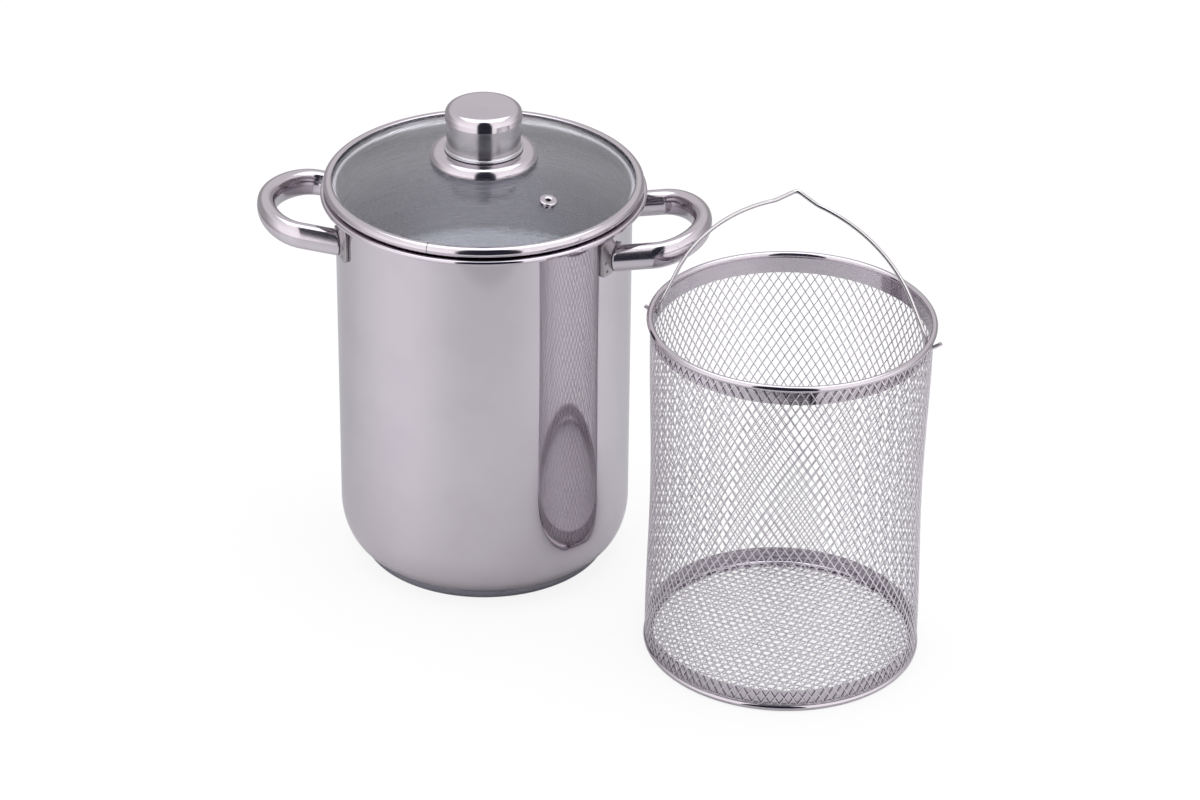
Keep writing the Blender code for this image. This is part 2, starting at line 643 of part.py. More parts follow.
def build_basket_foot(material, parent):
    bead = (BAND_RADIUS, BASKET_BEAD)
    ledge_under = FOOT_LEDGE_HEIGHT - BAND_SHEET
    ledge_inner = BAND_INSIDE - FOOT_LEDGE_WIDTH
    profile = [(BAND_INSIDE, FOOT_BAND_HEIGHT), (BAND_RADIUS, FOOT_BAND_HEIGHT)]
    profile += arc(bead, (BASKET_BEAD, BASKET_BEAD), 90, -150, 8)
    profile += [(ledge_inner, ledge_under), (ledge_inner, FOOT_LEDGE_HEIGHT)]
    profile += [(BAND_INSIDE, FOOT_LEDGE_HEIGHT)]
    turned("basket_foot", profile, BASKET_STEPS, material, parent=parent)


def build_sleeve(material, parent):
    """The diamond-mesh sleeve: strands bound openings that stand in staggered rows round the cylinder.

    It lies on both bands and draws in a little between them, as thin mesh does.
    """
    radius = SLEEVE_RADIUS
    low = 2 * BASKET_BEAD + GAP
    high = BASKET_TOP - 2 * BASKET_BEAD - GAP
    first_row = low + MESH_SELVEDGE
    last_row = PIVOT_HEIGHT + WIRE_RADIUS + BAIL_HOLE_CLEARANCE
    columns = 2 * MESH_AROUND
    step_up = (last_row - first_row) / MESH_ROWS
    step_round = math.tau * radius / columns
    slope = math.atan2(step_up, step_round)
    inset_round = MESH_STRAND / 2 / math.sin(slope)
    inset_up = MESH_STRAND / 2 / math.cos(slope)
    free_height = BASKET_TOP - TOP_BAND_DEPTH - FOOT_BAND_HEIGHT
    bm = bmesh.new()

    def vert(around, height):
        angle = around / radius
        share = min(max((height - FOOT_BAND_HEIGHT) / free_height, 0.0), 1.0)
        reach = radius - MESH_WAIST * math.sin(math.pi * share) ** 2
        return bm.verts.new((reach * math.cos(angle), reach * math.sin(angle), height))

    corners = {}
    for row in range(MESH_ROWS + 1):
        for column in range(columns):
            if (MESH_ROWS - row + column) % 2:
                continue
            x, z = column * step_round, first_row + row * step_up
            corners[row, column, "left"] = vert(x - step_round + inset_round, z)
            corners[row, column, "right"] = vert(x + step_round - inset_round, z)
            if row > 0:
                corners[row, column, "down"] = vert(x, z - step_up + inset_up)
            if row < MESH_ROWS:
                corners[row, column, "up"] = vert(x, z + step_up - inset_up)

    def corner(row, column, where):
        return corners[row, column % columns, where]

    for row in range(MESH_ROWS + 1):
        for column in range(columns):
            if (MESH_ROWS - row + column) % 2 == 0:
                continue
            crossing = [corner(row, column + 1, "left"), corner(row, column - 1, "right")]
            if row < MESH_ROWS:
                crossing.insert(1, corner(row + 1, column, "down"))
                for side, near, far in ((1, "left", "right"), (-1, "right", "left")):
                    bm.faces.new((
                        corner(row, column + side, near),
                        corner(row, column + side, "up"),
                        corner(row + 1, column, far),
                        corner(row + 1, column, "down"),
                    ))
            if row > 0:
                crossing.append(corner(row - 1, column, "up"))
            bm.faces.new(crossing)

    for row, height in ((0, low), (MESH_ROWS, high)):
        z = first_row + row * step_up
        rim = []
        for column in range((MESH_ROWS - row) % 2, columns, 2):
            x = column * step_round
            reach = step_round - inset_round
            rim.append((corner(row, column, "left"), vert(x - reach, height)))
            rim.append((vert(x, z), vert(x, height)))
            rim.append((corner(row, column, "right"), vert(x + reach, height)))
        for (near, outer), (near_next, outer_next) in zip(rim, rim[1:] + rim[:1]):
            bm.faces.new((near, near_next, outer_next, outer))

    sleeve = add_object("basket_sleeve", mesh_from(bm, "basket_sleeve"), material, parent)
    solid = sleeve.modifiers.new("sheet", "SOLIDIFY")
    solid.thickness = MESH_SHEET
    solid.offset = -1.0


def clip_to_circle(polygon, radius, sides):
    """The part of a convex polygon that lies inside a regular polygon of the given radius."""
    flat = radius * math.cos(math.pi / sides)
    for i in range(sides):
        angle = math.tau * (i + 0.5) / sides
        normal = Vector((math.cos(angle), math.sin(angle)))
        kept = []
        for here, following in zip(polygon, polygon[1:] + polygon[:1]):
            inside, inside_next = flat - here.dot(normal), flat - following.dot(normal)
            if inside >= 0:
                kept.append(here)
            if inside * inside_next < 0:
                kept.append(here.lerp(following, inside / (inside - inside_next)))
        polygon = kept
        if len(polygon) < 3:
            return []
    return polygon


def polygon_area(polygon):
    pairs = zip(polygon, polygon[1:] + polygon[:1])
    return abs(sum(a.x * b.y - a.y * b.x for a, b in pairs)) / 2


def build_basket_floor(material, parent):
    radius = BAND_INSIDE - GAP
    low = FOOT_LEDGE_HEIGHT + GAP
    high = low + MESH_SHEET
    disc = cylinder_mesh("basket_floor", radius, low, high, BASKET_STEPS)
    floor = add_object("basket_floor", disc, material, parent)

    half_width, half_length = FLOOR_CELL_WIDTH / 2, FLOOR_CELL_LENGTH / 2
    slope = math.atan2(half_width, half_length)
    open_length = half_length - MESH_STRAND / 2 / math.sin(slope)
    open_width = half_width - MESH_STRAND / 2 / math.cos(slope)
    smallest = FLOOR_SMALLEST_SHARE * FLOOR_CELL_WIDTH * FLOOR_CELL_LENGTH / 2
    reach = math.ceil(radius / half_width)
    turn = Matrix.Rotation(FLOOR_TURN, 2)
    bm = bmesh.new()
    for i in range(-reach, reach + 1):
        for j in range(-reach, reach + 1):
            if (i + j) % 2:
                continue
            centre = Vector((i * half_length, j * half_width))
            ends = ((open_length, 0.0), (0.0, open_width), (-open_length, 0.0), (0.0, -open_width))
            diamond = [turn @ (centre + Vector(end)) for end in ends]
            outline = clip_to_circle(diamond, radius - FLOOR_MARGIN, BASKET_STEPS // 2)
            if len(outline) < 3 or polygon_area(outline) < smallest:
                continue
            rings = []
            for height in (low - CUT_OVERRUN, high + CUT_OVERRUN):
                rings.append([bm.verts.new((p.x, p.y, height)) for p in outline])
            loft(bm, rings)
    openings = add_object("floor_openings", mesh_from(bm, "floor_openings"), material, parent)
    openings.hide_render = True
    openings.display_type = "WIRE"
    cut(floor, openings)


def bail_half():
    """Half of the bail as (sideways, up) points about its pivot, from the peak to the tip outside the band."""
    leg = BAND_INSIDE - BAIL_LEG_CLEARANCE - WIRE_RADIUS
    kink = Vector((BAIL_PEAK_WIDTH, BAIL_RISE - BAIL_PEAK_DEPTH))
    lean, elbow = BAIL_LEG_LEAN, BAIL_ELBOW_RADIUS
    inward = Vector((-math.cos(lean), -math.sin(lean)))
    up = Vector((-math.sin(lean), math.cos(lean)))
    elbow_centre = Vector((leg - elbow, BAIL_LEG_STRAIGHT))
    to_kink = kink - (elbow_centre - inward * elbow)
    depth = to_kink.dot(inward)
    run = to_kink.dot(up) - math.sqrt(BAIL_ARC_RADIUS ** 2 - (BAIL_ARC_RADIUS - depth) ** 2)
    centre = elbow_centre + inward * (BAIL_ARC_RADIUS - elbow) + up * run
    start = math.degrees(math.atan2(kink.y - centre.y, kink.x - centre.x))
    points = [(0.0, BAIL_RISE)]
    points += arc(centre, (BAIL_ARC_RADIUS, BAIL_ARC_RADIUS), start, math.degrees(lean), 10)
    points += arc(elbow_centre, (elbow, elbow), math.degrees(lean), 0, 3)
    points += arc((leg + BAIL_BEND, BAIL_BEND), (BAIL_BEND, BAIL_BEND), 180, 270, 4)
    points += [(SLEEVE_RADIUS + WIRE_RADIUS, 0.0), (SLEEVE_RADIUS + BAIL_TIP_OUT, BAIL_TIP_RISE)]
    return points


def build_bail(material, parent):
    half = bail_half()
    route = [(-x, z) for x, z in reversed(half)] + half[1:]
    curve = bpy.data.curves.new("bail", "CURVE")
    curve.dimensions = "3D"
    spline = curve.splines.new("POLY")
    spline.points.add(len(route) - 1)
    for point, (x, z) in zip(spline.points, route):
        point.co = (x, 0.0, z, 1.0)
    spline.use_smooth = True
    curve.bevel_depth = WIRE_RADIUS
    curve.bevel_resolution = 2
    curve.use_fill_caps = True
    bail = add_object("bail", curve, material, parent)
    bail.location = (0.0, 0.0, PIVOT_HEIGHT)


def main():
    clear_scene()
    steel = make_material("polished_steel", STEEL, 0.12, 1.0)
    satin = make_material("satin_steel", STEEL_SATIN, 0.30, 1.0)
    aluminium = make_material("aluminium", ALUMINIUM, 0.40, 1.0)
    glass = make_material("glass", (0.80, 0.82, 0.84), 0.03, 0.0, alpha=0.35)
    rubber = make_material("silicone", (0.80, 0.80, 0.78), 0.60, 0.0)
    plastic = make_material("threaded_insert", (0.10, 0.10, 0.11), 0.50, 0.0)
    mesh_steel = make_material("mesh_steel", STEEL, 0.25, 1.0)
    wire = make_material("wire_steel", STEEL, 0.15, 1.0)

    build_pot_shell(steel)
    build_base(satin, aluminium)
    for side_name, turn in (("right", 0.0), ("left", math.pi)):
        build_handle("handle_" + side_name, turn, steel)
        front = -1 if side_name == "right" else 1
        for end_name, side in (("front", front), ("rear", -front)):
            build_bracket("bracket_" + side_name + "_" + end_name, turn, side, steel)

    lid = add_empty("lid", (0.0, 0.0, 0.0))
    build_glass(glass, lid)
    build_lid_ring(steel, lid)
    build_vent(steel, lid)
    build_knob(steel, satin, plastic, rubber, lid)

    beside = BASKET_RADIUS + BASKET_GAP
    basket_x = HANDLE_REACH + beside * math.cos(BASKET_DIRECTION)
    basket_y = beside * math.sin(BASKET_DIRECTION) - HANDLE_SPREAD
    basket = add_empty("basket", (basket_x, basket_y, 0.0), BASKET_TURN)
    build_basket_rim(steel, basket)
    build_basket_foot(steel, basket)
    build_sleeve(mesh_steel, basket)
    build_basket_floor(mesh_steel, basket)
    build_bail(wire, basket)


main()
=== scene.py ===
import math

import bmesh
import bpy
from mathutils import Matrix, Vector


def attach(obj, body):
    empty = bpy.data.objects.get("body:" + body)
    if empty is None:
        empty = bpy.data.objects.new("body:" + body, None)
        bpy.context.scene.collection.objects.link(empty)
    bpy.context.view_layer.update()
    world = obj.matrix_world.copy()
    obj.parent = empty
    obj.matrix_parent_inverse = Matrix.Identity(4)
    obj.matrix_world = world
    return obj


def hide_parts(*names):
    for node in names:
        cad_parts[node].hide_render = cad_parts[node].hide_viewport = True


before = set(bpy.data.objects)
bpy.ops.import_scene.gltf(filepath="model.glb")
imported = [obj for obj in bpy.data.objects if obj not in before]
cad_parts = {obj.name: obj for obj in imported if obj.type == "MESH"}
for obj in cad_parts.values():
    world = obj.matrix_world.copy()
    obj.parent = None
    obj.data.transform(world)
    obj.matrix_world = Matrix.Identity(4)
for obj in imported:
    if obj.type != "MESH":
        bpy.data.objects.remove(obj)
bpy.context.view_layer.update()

mm = 0.001
mergeReach = 0.002 * mm
print("frame loaded:", len(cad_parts), "CAD nodes")


# small tools shared by the pieces

def turnAbout(axis, degrees):
    return Matrix.Rotation(math.radians(degrees), 4, axis)


def addObject(name, data):
    made = bpy.data.objects.new(name, data)
    bpy.context.scene.collection.objects.link(made)
    return made


def meshFrom(bm, name):
    mesh = bpy.data.meshes.new(name)
    bm.to_mesh(mesh)
    bm.free()
    return mesh


def evaluatedMesh(piece):
    bpy.context.view_layer.update()
    graph = bpy.context.evaluated_depsgraph_get()
    return bpy.data.meshes.new_from_object(piece.evaluated_get(graph))


def clearedTree(owner):
    owner.use_nodes = True
    owner.node_tree.nodes.clear()
    return owner.node_tree


def newTree(name):
    material = bpy.data.materials.new(name)
    material.use_nodes = True
    return material, material.node_tree, material.node_tree.nodes["Principled BSDF"]


def addNode(tree, kind, inputs=None, **settings):
    node = tree.nodes.new(kind)
    for key, value in settings.items():
        setattr(node, key, value)
    for key, value in (inputs or {}).items():
        if isinstance(value, bpy.types.NodeSocket):
            tree.links.new(value, node.inputs[key])
        else:
            node.inputs[key].default_value = value
    return node


def mathNode(tree, operation, *values):
    return addNode(tree, "ShaderNodeMath", dict(enumerate(values)), operation=operation).outputs[0]


def stepMask(tree, value, start, end):
    # 0 below start, 1 above end, eased between
    node = addNode(tree, "ShaderNodeMapRange", {"Value": value, "From Min": start, "From Max": end},
                   interpolation_type="SMOOTHSTEP")
    return node.outputs["Result"]


def fallMask(tree, value, start, end):
    # 1 below start, 0 above end
    return mathNode(tree, "SUBTRACT", 1.0, stepMask(tree, value, start, end))


def squared(tree, value):
    return mathNode(tree, "MULTIPLY", value, value)


def newGroup(name, inputs, outputs):
    group = bpy.data.node_groups.new(name, "ShaderNodeTree")
    for label, kind, value in inputs:
        socket = group.interface.new_socket(name=label, in_out="INPUT", socket_type=kind)
        socket.default_value = value
    for label, kind in outputs:
        group.interface.new_socket(name=label, in_out="OUTPUT", socket_type=kind)
    return group, group.nodes.new("NodeGroupInput"), group.nodes.new("NodeGroupOutput")


def placeGroup(tree, group, **values):
    return addNode(tree, "ShaderNodeGroup", values, node_tree=group)


def roundCorner(bm, vert, reach, segments):
    bmesh.ops.bevel(bm, geom=[vert], offset=reach * mm, offset_type="OFFSET", segments=segments,
                    profile=0.5, affect="VERTICES", material=-1)


def profileLine(points, rounds=()):
    # points are (radius, height) in mm; rounds are (index, reach, segments) of the corners to round
    bm = bmesh.new()
    verts = [bm.verts.new((radius * mm, 0, height * mm)) for radius, height in points]
    for first, second in zip(verts, verts[1:]):
        bm.edges.new((first, second))
    for index, reach, segments in rounds:
        roundCorner(bm, verts[index], reach, segments)
    return bm


def arcOn(bm, vert, centre, degrees, steps):
    # carries the line on round a centre; a positive turn runs clockwise in the profile
    made = bmesh.ops.spin(bm, geom=[vert], cent=(centre[0] * mm, 0, centre[1] * mm), axis=(0, 1, 0),
                          angle=math.radians(degrees), steps=steps)
    return next(item for item in made["geom_last"] if isinstance(item, bmesh.types.BMVert))


def lineOn(bm, vert, *points):
    for radius, height in points:
        following = bm.verts.new((radius * mm, 0, height * mm))
        bm.edges.new((vert, following))
        vert = following
    return vert


def holdShading(bm, reach=0.15, shortest=0.7):
    # a short step at both ends of each long straight keeps its shading flat beside a small bend
    for edge in [edge for edge in bm.edges if edge.calc_length() > shortest * mm]:
        first, second = edge.verts
        added = bmesh.utils.edge_split(edge, first, reach * mm / edge.calc_length())[1]
        rest = next(item for item in added.link_edges if item.other_vert(added) == second)
        bmesh.utils.edge_split(rest, second, reach * mm / rest.calc_length())


def spinRound(bm, steps):
    # a full turn round the axis; the normals are made to point outwards
    holdShading(bm)
    bmesh.ops.spin(bm, geom=bm.verts[:] + bm.edges[:], axis=(0, 0, 1), cent=(0, 0, 0), angle=math.tau,
                   steps=steps, use_merge=True)
    bmesh.ops.remove_doubles(bm, verts=bm.verts, dist=mergeReach)
    bmesh.ops.recalc_face_normals(bm, faces=bm.faces)


def faceOutward(bm, direction=None):
    # an open sheet is turned so that its outermost face looks away from the axis, or along a direction
    bmesh.ops.recalc_face_normals(bm, faces=bm.faces)

    def away(face):
        middle = face.calc_center_median()
        return middle.dot(direction) if direction else middle.xy.length
    outermost = max(bm.faces, key=away)
    side = direction or Vector((*outermost.calc_center_median().xy, 0))
    if outermost.normal.dot(side) < 0:
        bmesh.ops.reverse_faces(bm, faces=bm.faces)


def finishPiece(bm, name, body, nodes, slotName, materials, place=None, sharp=38):
    if place:
        bmesh.ops.transform(bm, matrix=place, verts=bm.verts)
    mesh = meshFrom(bm, name)
    mesh.shade_smooth()
    mesh.set_sharp_from_angle(angle=math.radians(sharp))
    piece = addObject(name, mesh)
    for material in materials:
        mesh.materials.append(material)
    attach(piece, body)
    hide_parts(*nodes)
    return piece


def giveSheet(piece, thickness, innerMaterial=0):
    sheet = piece.modifiers.new("sheet", "SOLIDIFY")
    sheet.thickness = thickness * mm
    sheet.offset = -1
    sheet.use_even_offset = True
    sheet.material_offset = innerMaterial
    return sheet


def turnSheet(bm, steps, thickness, *finish, innerMaterial=0, sharp=38):
    # a thin sheet turned round the axis from its line
    spinRound(bm, steps)
    faceOutward(bm)
    piece = finishPiece(bm, *finish, sharp=sharp)
    giveSheet(piece, thickness, innerMaterial)
    return piece


def easeEdges(piece, width):
    bevel = piece.modifiers.new("easedEdges", "BEVEL")
    bevel.width = width * mm
    bevel.segments = 2
    bevel.limit_method = "ANGLE"
    bevel.angle_limit = math.radians(60)


def cutWith(piece, bm, name):
    # cuts a bmesh cutter out of the piece and keeps the result as its mesh
    bmesh.ops.recalc_face_normals(bm, faces=bm.faces)
    cutter = addObject(name, meshFrom(bm, name))
    boolean = piece.modifiers.new(name, "BOOLEAN")
    boolean.operation = "DIFFERENCE"
    boolean.solver = "EXACT"
    boolean.object = cutter
    cutMesh = evaluatedMesh(piece)
    piece.modifiers.clear()
    piece.data = cutMesh
    bpy.data.objects.remove(cutter)


# effects shared by the materials

def makePolishGroup():
    # smears and hairline marks of polished steel
    group, given, out = newGroup("polishMarks", [
        ("Smear Scale", "NodeSocketFloat", 30.0), ("Line Scale", "NodeSocketFloat", 900.0),
        ("Base Roughness", "NodeSocketFloat", 0.06), ("Spread", "NodeSocketFloat", 0.04)],
        [("Roughness", "NodeSocketFloat"), ("Height", "NodeSocketFloat"), ("Mask", "NodeSocketFloat")])
    coords = addNode(group, "ShaderNodeTexCoord")
    smear = addNode(group, "ShaderNodeTexNoise", {"Vector": coords.outputs["Object"],
                    "Scale": given.outputs["Smear Scale"], "Detail": 5.0, "Roughness": 0.55})
    squeezed = addNode(group, "ShaderNodeMapping", {"Vector": coords.outputs["Object"],
                       "Scale": (1.0, 1.0, 0.06), "Rotation": (0.12, 0.08, 0.0)})
    lines = addNode(group, "ShaderNodeTexNoise", {"Vector": squeezed.outputs[0],
                    "Scale": given.outputs["Line Scale"], "Detail": 2.0})
    smearMask = stepMask(group, smear.outputs["Fac"], 0.42, 0.68)
    linesMask = stepMask(group, lines.outputs["Fac"], 0.55, 0.75)
    marks = mathNode(group, "ADD", smearMask, mathNode(group, "MULTIPLY", linesMask, 0.35))
    spread = mathNode(group, "MULTIPLY", marks, given.outputs["Spread"])
    roughness = mathNode(group, "ADD", spread, given.outputs["Base Roughness"])
    group.links.new(roughness, out.inputs["Roughness"])
    group.links.new(smear.outputs["Fac"], out.inputs["Height"])
    group.links.new(smearMask, out.inputs["Mask"])
    return group


def makeTurnedGrainGroup():
    # fine lines that run round the vertical axis, as a wheel leaves them
    group, given, out = newGroup("turnedGrain", [
        ("Centre", "NodeSocketVector", (0.0, 0.0, 0.0)), ("Density", "NodeSocketFloat", 2200.0),
        ("Length", "NodeSocketFloat", 1.6)],
        [("Lines", "NodeSocketFloat"), ("Cloud", "NodeSocketFloat")])
    coords = addNode(group, "ShaderNodeTexCoord")
    centred = addNode(group, "ShaderNodeVectorMath", {0: coords.outputs["Object"],
                      1: given.outputs["Centre"]}, operation="SUBTRACT")
    split = addNode(group, "ShaderNodeSeparateXYZ", {0: centred.outputs[0]})
    x, y, z = split.outputs[0], split.outputs[1], split.outputs[2]
    radius = mathNode(group, "SQRT", mathNode(group, "ADD", squared(group, x), squared(group, y)))
    safe = mathNode(group, "MAXIMUM", radius, 0.0001)
    around = addNode(group, "ShaderNodeCombineXYZ", {
        0: mathNode(group, "MULTIPLY", mathNode(group, "DIVIDE", x, safe), given.outputs["Length"]),
        1: mathNode(group, "MULTIPLY", mathNode(group, "DIVIDE", y, safe), given.outputs["Length"])})
    across = mathNode(group, "MULTIPLY", mathNode(group, "ADD", radius, z), given.outputs["Density"])
    lines = addNode(group, "ShaderNodeTexNoise", {"Vector": around.outputs[0], "W": across, "Scale": 1.0,
                    "Detail": 3.0, "Roughness": 0.6}, noise_dimensions="4D")
    wide = addNode(group, "ShaderNodeTexNoise", {"Vector": around.outputs[0],
                   "W": mathNode(group, "MULTIPLY", across, 0.06), "Scale": 2.5, "Detail": 2.0},
                   noise_dimensions="4D")
    group.links.new(lines.outputs["Fac"], out.inputs["Lines"])
    group.links.new(wide.outputs["Fac"], out.inputs["Cloud"])
    return group


polishGroup = makePolishGroup()
grainGroup = makeTurnedGrainGroup()


# materials

# each steel has a light tone and a deeper one
steelLook = {
    "mirror": ((0.535, 0.495, 0.530), (0.515, 0.475, 0.512)),
    "satin": ((0.52, 0.505, 0.525), (0.46, 0.445, 0.465)),
    # the inside's tones are lifted well past bare steel: painted light for the light the glass lid keeps
    # from the pot's inside
    "inside": ((0.93, 0.92, 0.955), (0.86, 0.85, 0.895)),
    "base": ((0.33, 0.33, 0.37), (0.27, 0.27, 0.31)),
    "mesh": ((0.68, 0.645, 0.68), (0.58, 0.55, 0.59)),
    "wire": ((0.62, 0.60, 0.61), (0.56, 0.54, 0.55)),
    "bracket": ((0.40, 0.38, 0.39), (0.35, 0.335, 0.345)),
}


def giveBump(tree, shader, height, depth):
    bump = addNode(tree, "ShaderNodeBump", {"Height": height, "Distance": depth, "Strength": 1.0})
    tree.links.new(bump.outputs[0], shader.inputs["Normal"])


def tintBetween(tree, mask, first, second):
    # first where the mask is 0, second where it is 1; both are colours or outputs
    pair = [tint if isinstance(tint, bpy.types.NodeSocket) else (*tint, 1) for tint in (first, second)]
    mix = addNode(tree, "ShaderNodeMix", {"Factor": mask, "A": pair[0], "B": pair[1]}, data_type="RGBA")
    return mix.outputs["Result"]


def makeMirrorSteel(name="mirrorSteel", roughness=0.05, spread=0.02, wave=0.00002, smearScale=26.0,
                    seamAngle=None):
    material, tree, shader = newTree(name)
    shader.inputs["Metallic"].default_value = 1.0
    marks = placeGroup(tree, polishGroup, **{"Smear Scale": smearScale, "Line Scale": 1400.0,
                       "Base Roughness": roughness, "Spread": spread})
    colour = tintBetween(tree, marks.outputs["Mask"], *steelLook["mirror"])
    tree.links.new(marks.outputs["Roughness"], shader.inputs["Roughness"])
    giveBump(tree, shader, marks.outputs["Height"], wave)
    if seamAngle is not None:
        # the ring's butt joint shows as one hairline across the bead
        coords = addNode(tree, "ShaderNodeTexCoord")
        turned = addNode(tree, "ShaderNodeMapping", {"Vector": coords.outputs["Object"],
                         "Rotation": (0.0, 0.0, -math.radians(seamAngle))})
        split = addNode(tree, "ShaderNodeSeparateXYZ", {0: turned.outputs[0]})
        near = fallMask(tree, mathNode(tree, "ABSOLUTE", split.outputs[1]), 0.10 * mm, 0.28 * mm)
        seam = mathNode(tree, "MULTIPLY", near, mathNode(tree, "GREATER_THAN", split.outputs[0], 0.0))
        colour = tintBetween(tree, seam, colour, (0.06, 0.055, 0.06))
    tree.links.new(colour, shader.inputs["Base Color"])
    return material


def makeGrainSteel(name, colours, roughness, spread, centre=(0, 0, 0), density=2200.0, length=1.6,
                   depth=0.00003, metallic=1.0):
    material, tree, shader = newTree(name)
    shader.inputs["Metallic"].default_value = metallic
    grain = placeGroup(tree, grainGroup, Centre=centre, Density=density, Length=length)
    colour = tintBetween(tree, grain.outputs["Cloud"], *colours)
    tree.links.new(colour, shader.inputs["Base Color"])
    rough = addNode(tree, "ShaderNodeMapRange", {"Value": grain.outputs["Lines"], "From Min": 0.3,
                    "From Max": 0.7, "To Min": roughness - spread, "To Max": roughness + spread})
    tree.links.new(rough.outputs["Result"], shader.inputs["Roughness"])
    giveBump(tree, shader, grain.outputs["Lines"], depth)
    return material


def makeGlass():
    material, tree, shader = newTree("lidGlass")
    shader.inputs["Transmission Weight"].default_value = 1.0
    shader.inputs["IOR"].default_value = 1.5
    marks = placeGroup(tree, polishGroup, **{"Smear Scale": 12.0, "Line Scale": 500.0,
                       "Base Roughness": 0.0, "Spread": 0.012})
    tree.links.new(marks.outputs["Roughness"], shader.inputs["Roughness"])
    colour = tintBetween(tree, marks.outputs["Mask"], (0.985, 0.988, 1.0), (0.96, 0.965, 0.99))
    tree.links.new(colour, shader.inputs["Base Color"])
    return material


def makePlain(name, colours, roughness, metallic=0.0, scale=400.0, depth=0.00004, spread=0.08):
    material, tree, shader = newTree(name)
    shader.inputs["Metallic"].default_value = metallic
    coords = addNode(tree, "ShaderNodeTexCoord")
    noise = addNode(tree, "ShaderNodeTexNoise", {"Vector": coords.outputs["Object"], "Scale": scale,
                    "Detail": 3.0})
    tree.links.new(tintBetween(tree, noise.outputs["Fac"], *colours), shader.inputs["Base Color"])
    rough = addNode(tree, "ShaderNodeMapRange", {"Value": noise.outputs["Fac"],
                    "To Min": roughness - spread, "To Max": roughness + spread})
    tree.links.new(rough.outputs["Result"], shader.inputs["Roughness"])
    giveBump(tree, shader, noise.outputs["Fac"], depth)
    return material


# the basket stands beside the pot, turned a little; its pieces are made about their own axis
basketPlace = {"x": 171.882, "y": -85.782, "turn": -8.3, "pivotHeight": 188.8}
basketCentre = (basketPlace["x"] * mm, basketPlace["y"] * mm, 0.0)
basketMatrix = Matrix.Translation(basketCentre) @ turnAbout("Z", basketPlace["turn"])
bailMatrix = basketMatrix @ Matrix.Translation((0, 0, basketPlace["pivotHeight"] * mm))

mirrorSteel = makeMirrorSteel()
ringSteel = makeMirrorSteel("ringSteel", roughness=0.10, wave=0.00001, smearScale=60.0, seamAngle=-103.0)
handleSteel = makeMirrorSteel("handleSteel", roughness=0.14, smearScale=70.0)
knobSteel = makeMirrorSteel("knobSteel", roughness=0.13, wave=0.00001, smearScale=60.0)
# the pot's inside and the ring's inner skirt carry painted light in this steel's lifted colour
insideSteel = makeGrainSteel("insideSteel", steelLook["inside"], 0.27, 0.06, density=2600.0, length=0.8,
                             depth=0.000012, metallic=0.86)
satinSteel = makeGrainSteel("satinSteel", steelLook["satin"], 0.19, 0.05, density=3800.0, length=0.8,
                            depth=0.000015, metallic=0.94)
baseSteel = makeGrainSteel("baseSteel", steelLook["base"], 0.30, 0.07, density=3000.0)
bandSteel = makeGrainSteel("bandSteel", steelLook["mirror"], 0.075, 0.02, centre=basketCentre,
                           density=2500.0, length=0.7, depth=0.000008)
meshSteel = makePlain("meshSteel", steelLook["mesh"], 0.30, 1.0, scale=700.0, depth=0.00002)
wireSteel = makePlain("wireSteel", steelLook["wire"], 0.13, 1.0, scale=500.0, depth=0.000008)


def makeBracketSteel(v):
    # plain steel with painted shade: small dark dots where the two spot welds dimple each bracket
    material = makePlain("bracketSteel", steelLook["bracket"], 0.24, 1.0, scale=300.0, depth=0.000002)
    tree = material.node_tree
    shader = tree.nodes["Principled BSDF"]
    coords = addNode(tree, "ShaderNodeTexCoord")
    folded = addNode(tree, "ShaderNodeVectorMath", {0: coords.outputs["Object"]}, operation="ABSOLUTE")
    dimpleShading = 0.0
    for y, z in v["welds"]:
        centre = (math.sqrt(v["radius"] ** 2 - y ** 2) * mm, y * mm, z * mm)
        away = addNode(tree, "ShaderNodeVectorMath", {0: folded.outputs[0], 1: centre},
                       operation="DISTANCE")
        spotShade = fallMask(tree, away.outputs["Value"], v["spot"][0] * mm, v["spot"][1] * mm)
        dimpleShading = mathNode(tree, "MAXIMUM", spotShade, dimpleShading)
    plain = shader.inputs["Base Color"].links[0].from_socket
    tree.links.new(tintBetween(tree, dimpleShading, plain, v["tone"]), shader.inputs["Base Color"])
    return material


# the dark tone at each weld is painted shade, standing in for the dimple the weld presses into the plate
weldShadeSpots = {"welds": ((41.4, 197.6), (40.4, 192.4)), "radius": 81.7, "spot": (0.7, 1.2),
             "tone": (0.10, 0.09, 0.10)}
bracketSteel = makeBracketSteel(weldShadeSpots)
glass = makeGlass()
aluminium = makePlain("aluminium", ((0.62, 0.63, 0.66), (0.52, 0.53, 0.56)), 0.42, 1.0)
silicone = makePlain("silicone", ((0.78, 0.78, 0.76), (0.68, 0.68, 0.66)), 0.55)
insertPlastic = makePlain("insertPlastic", ((0.03, 0.03, 0.033), (0.05, 0.05, 0.055)), 0.5)
print("materials made")


# pot

potShape = {"steps": 168, "inside": 79.3, "floor": 5.55, "cornerWide": 13.9, "cornerHigh": 24.3, "rim": 87.8,
            "height": 218.3, "rimBend": 3.3, "rimEdge": 1.2, "rimDrop": 2.4, "sheet": 0.7}


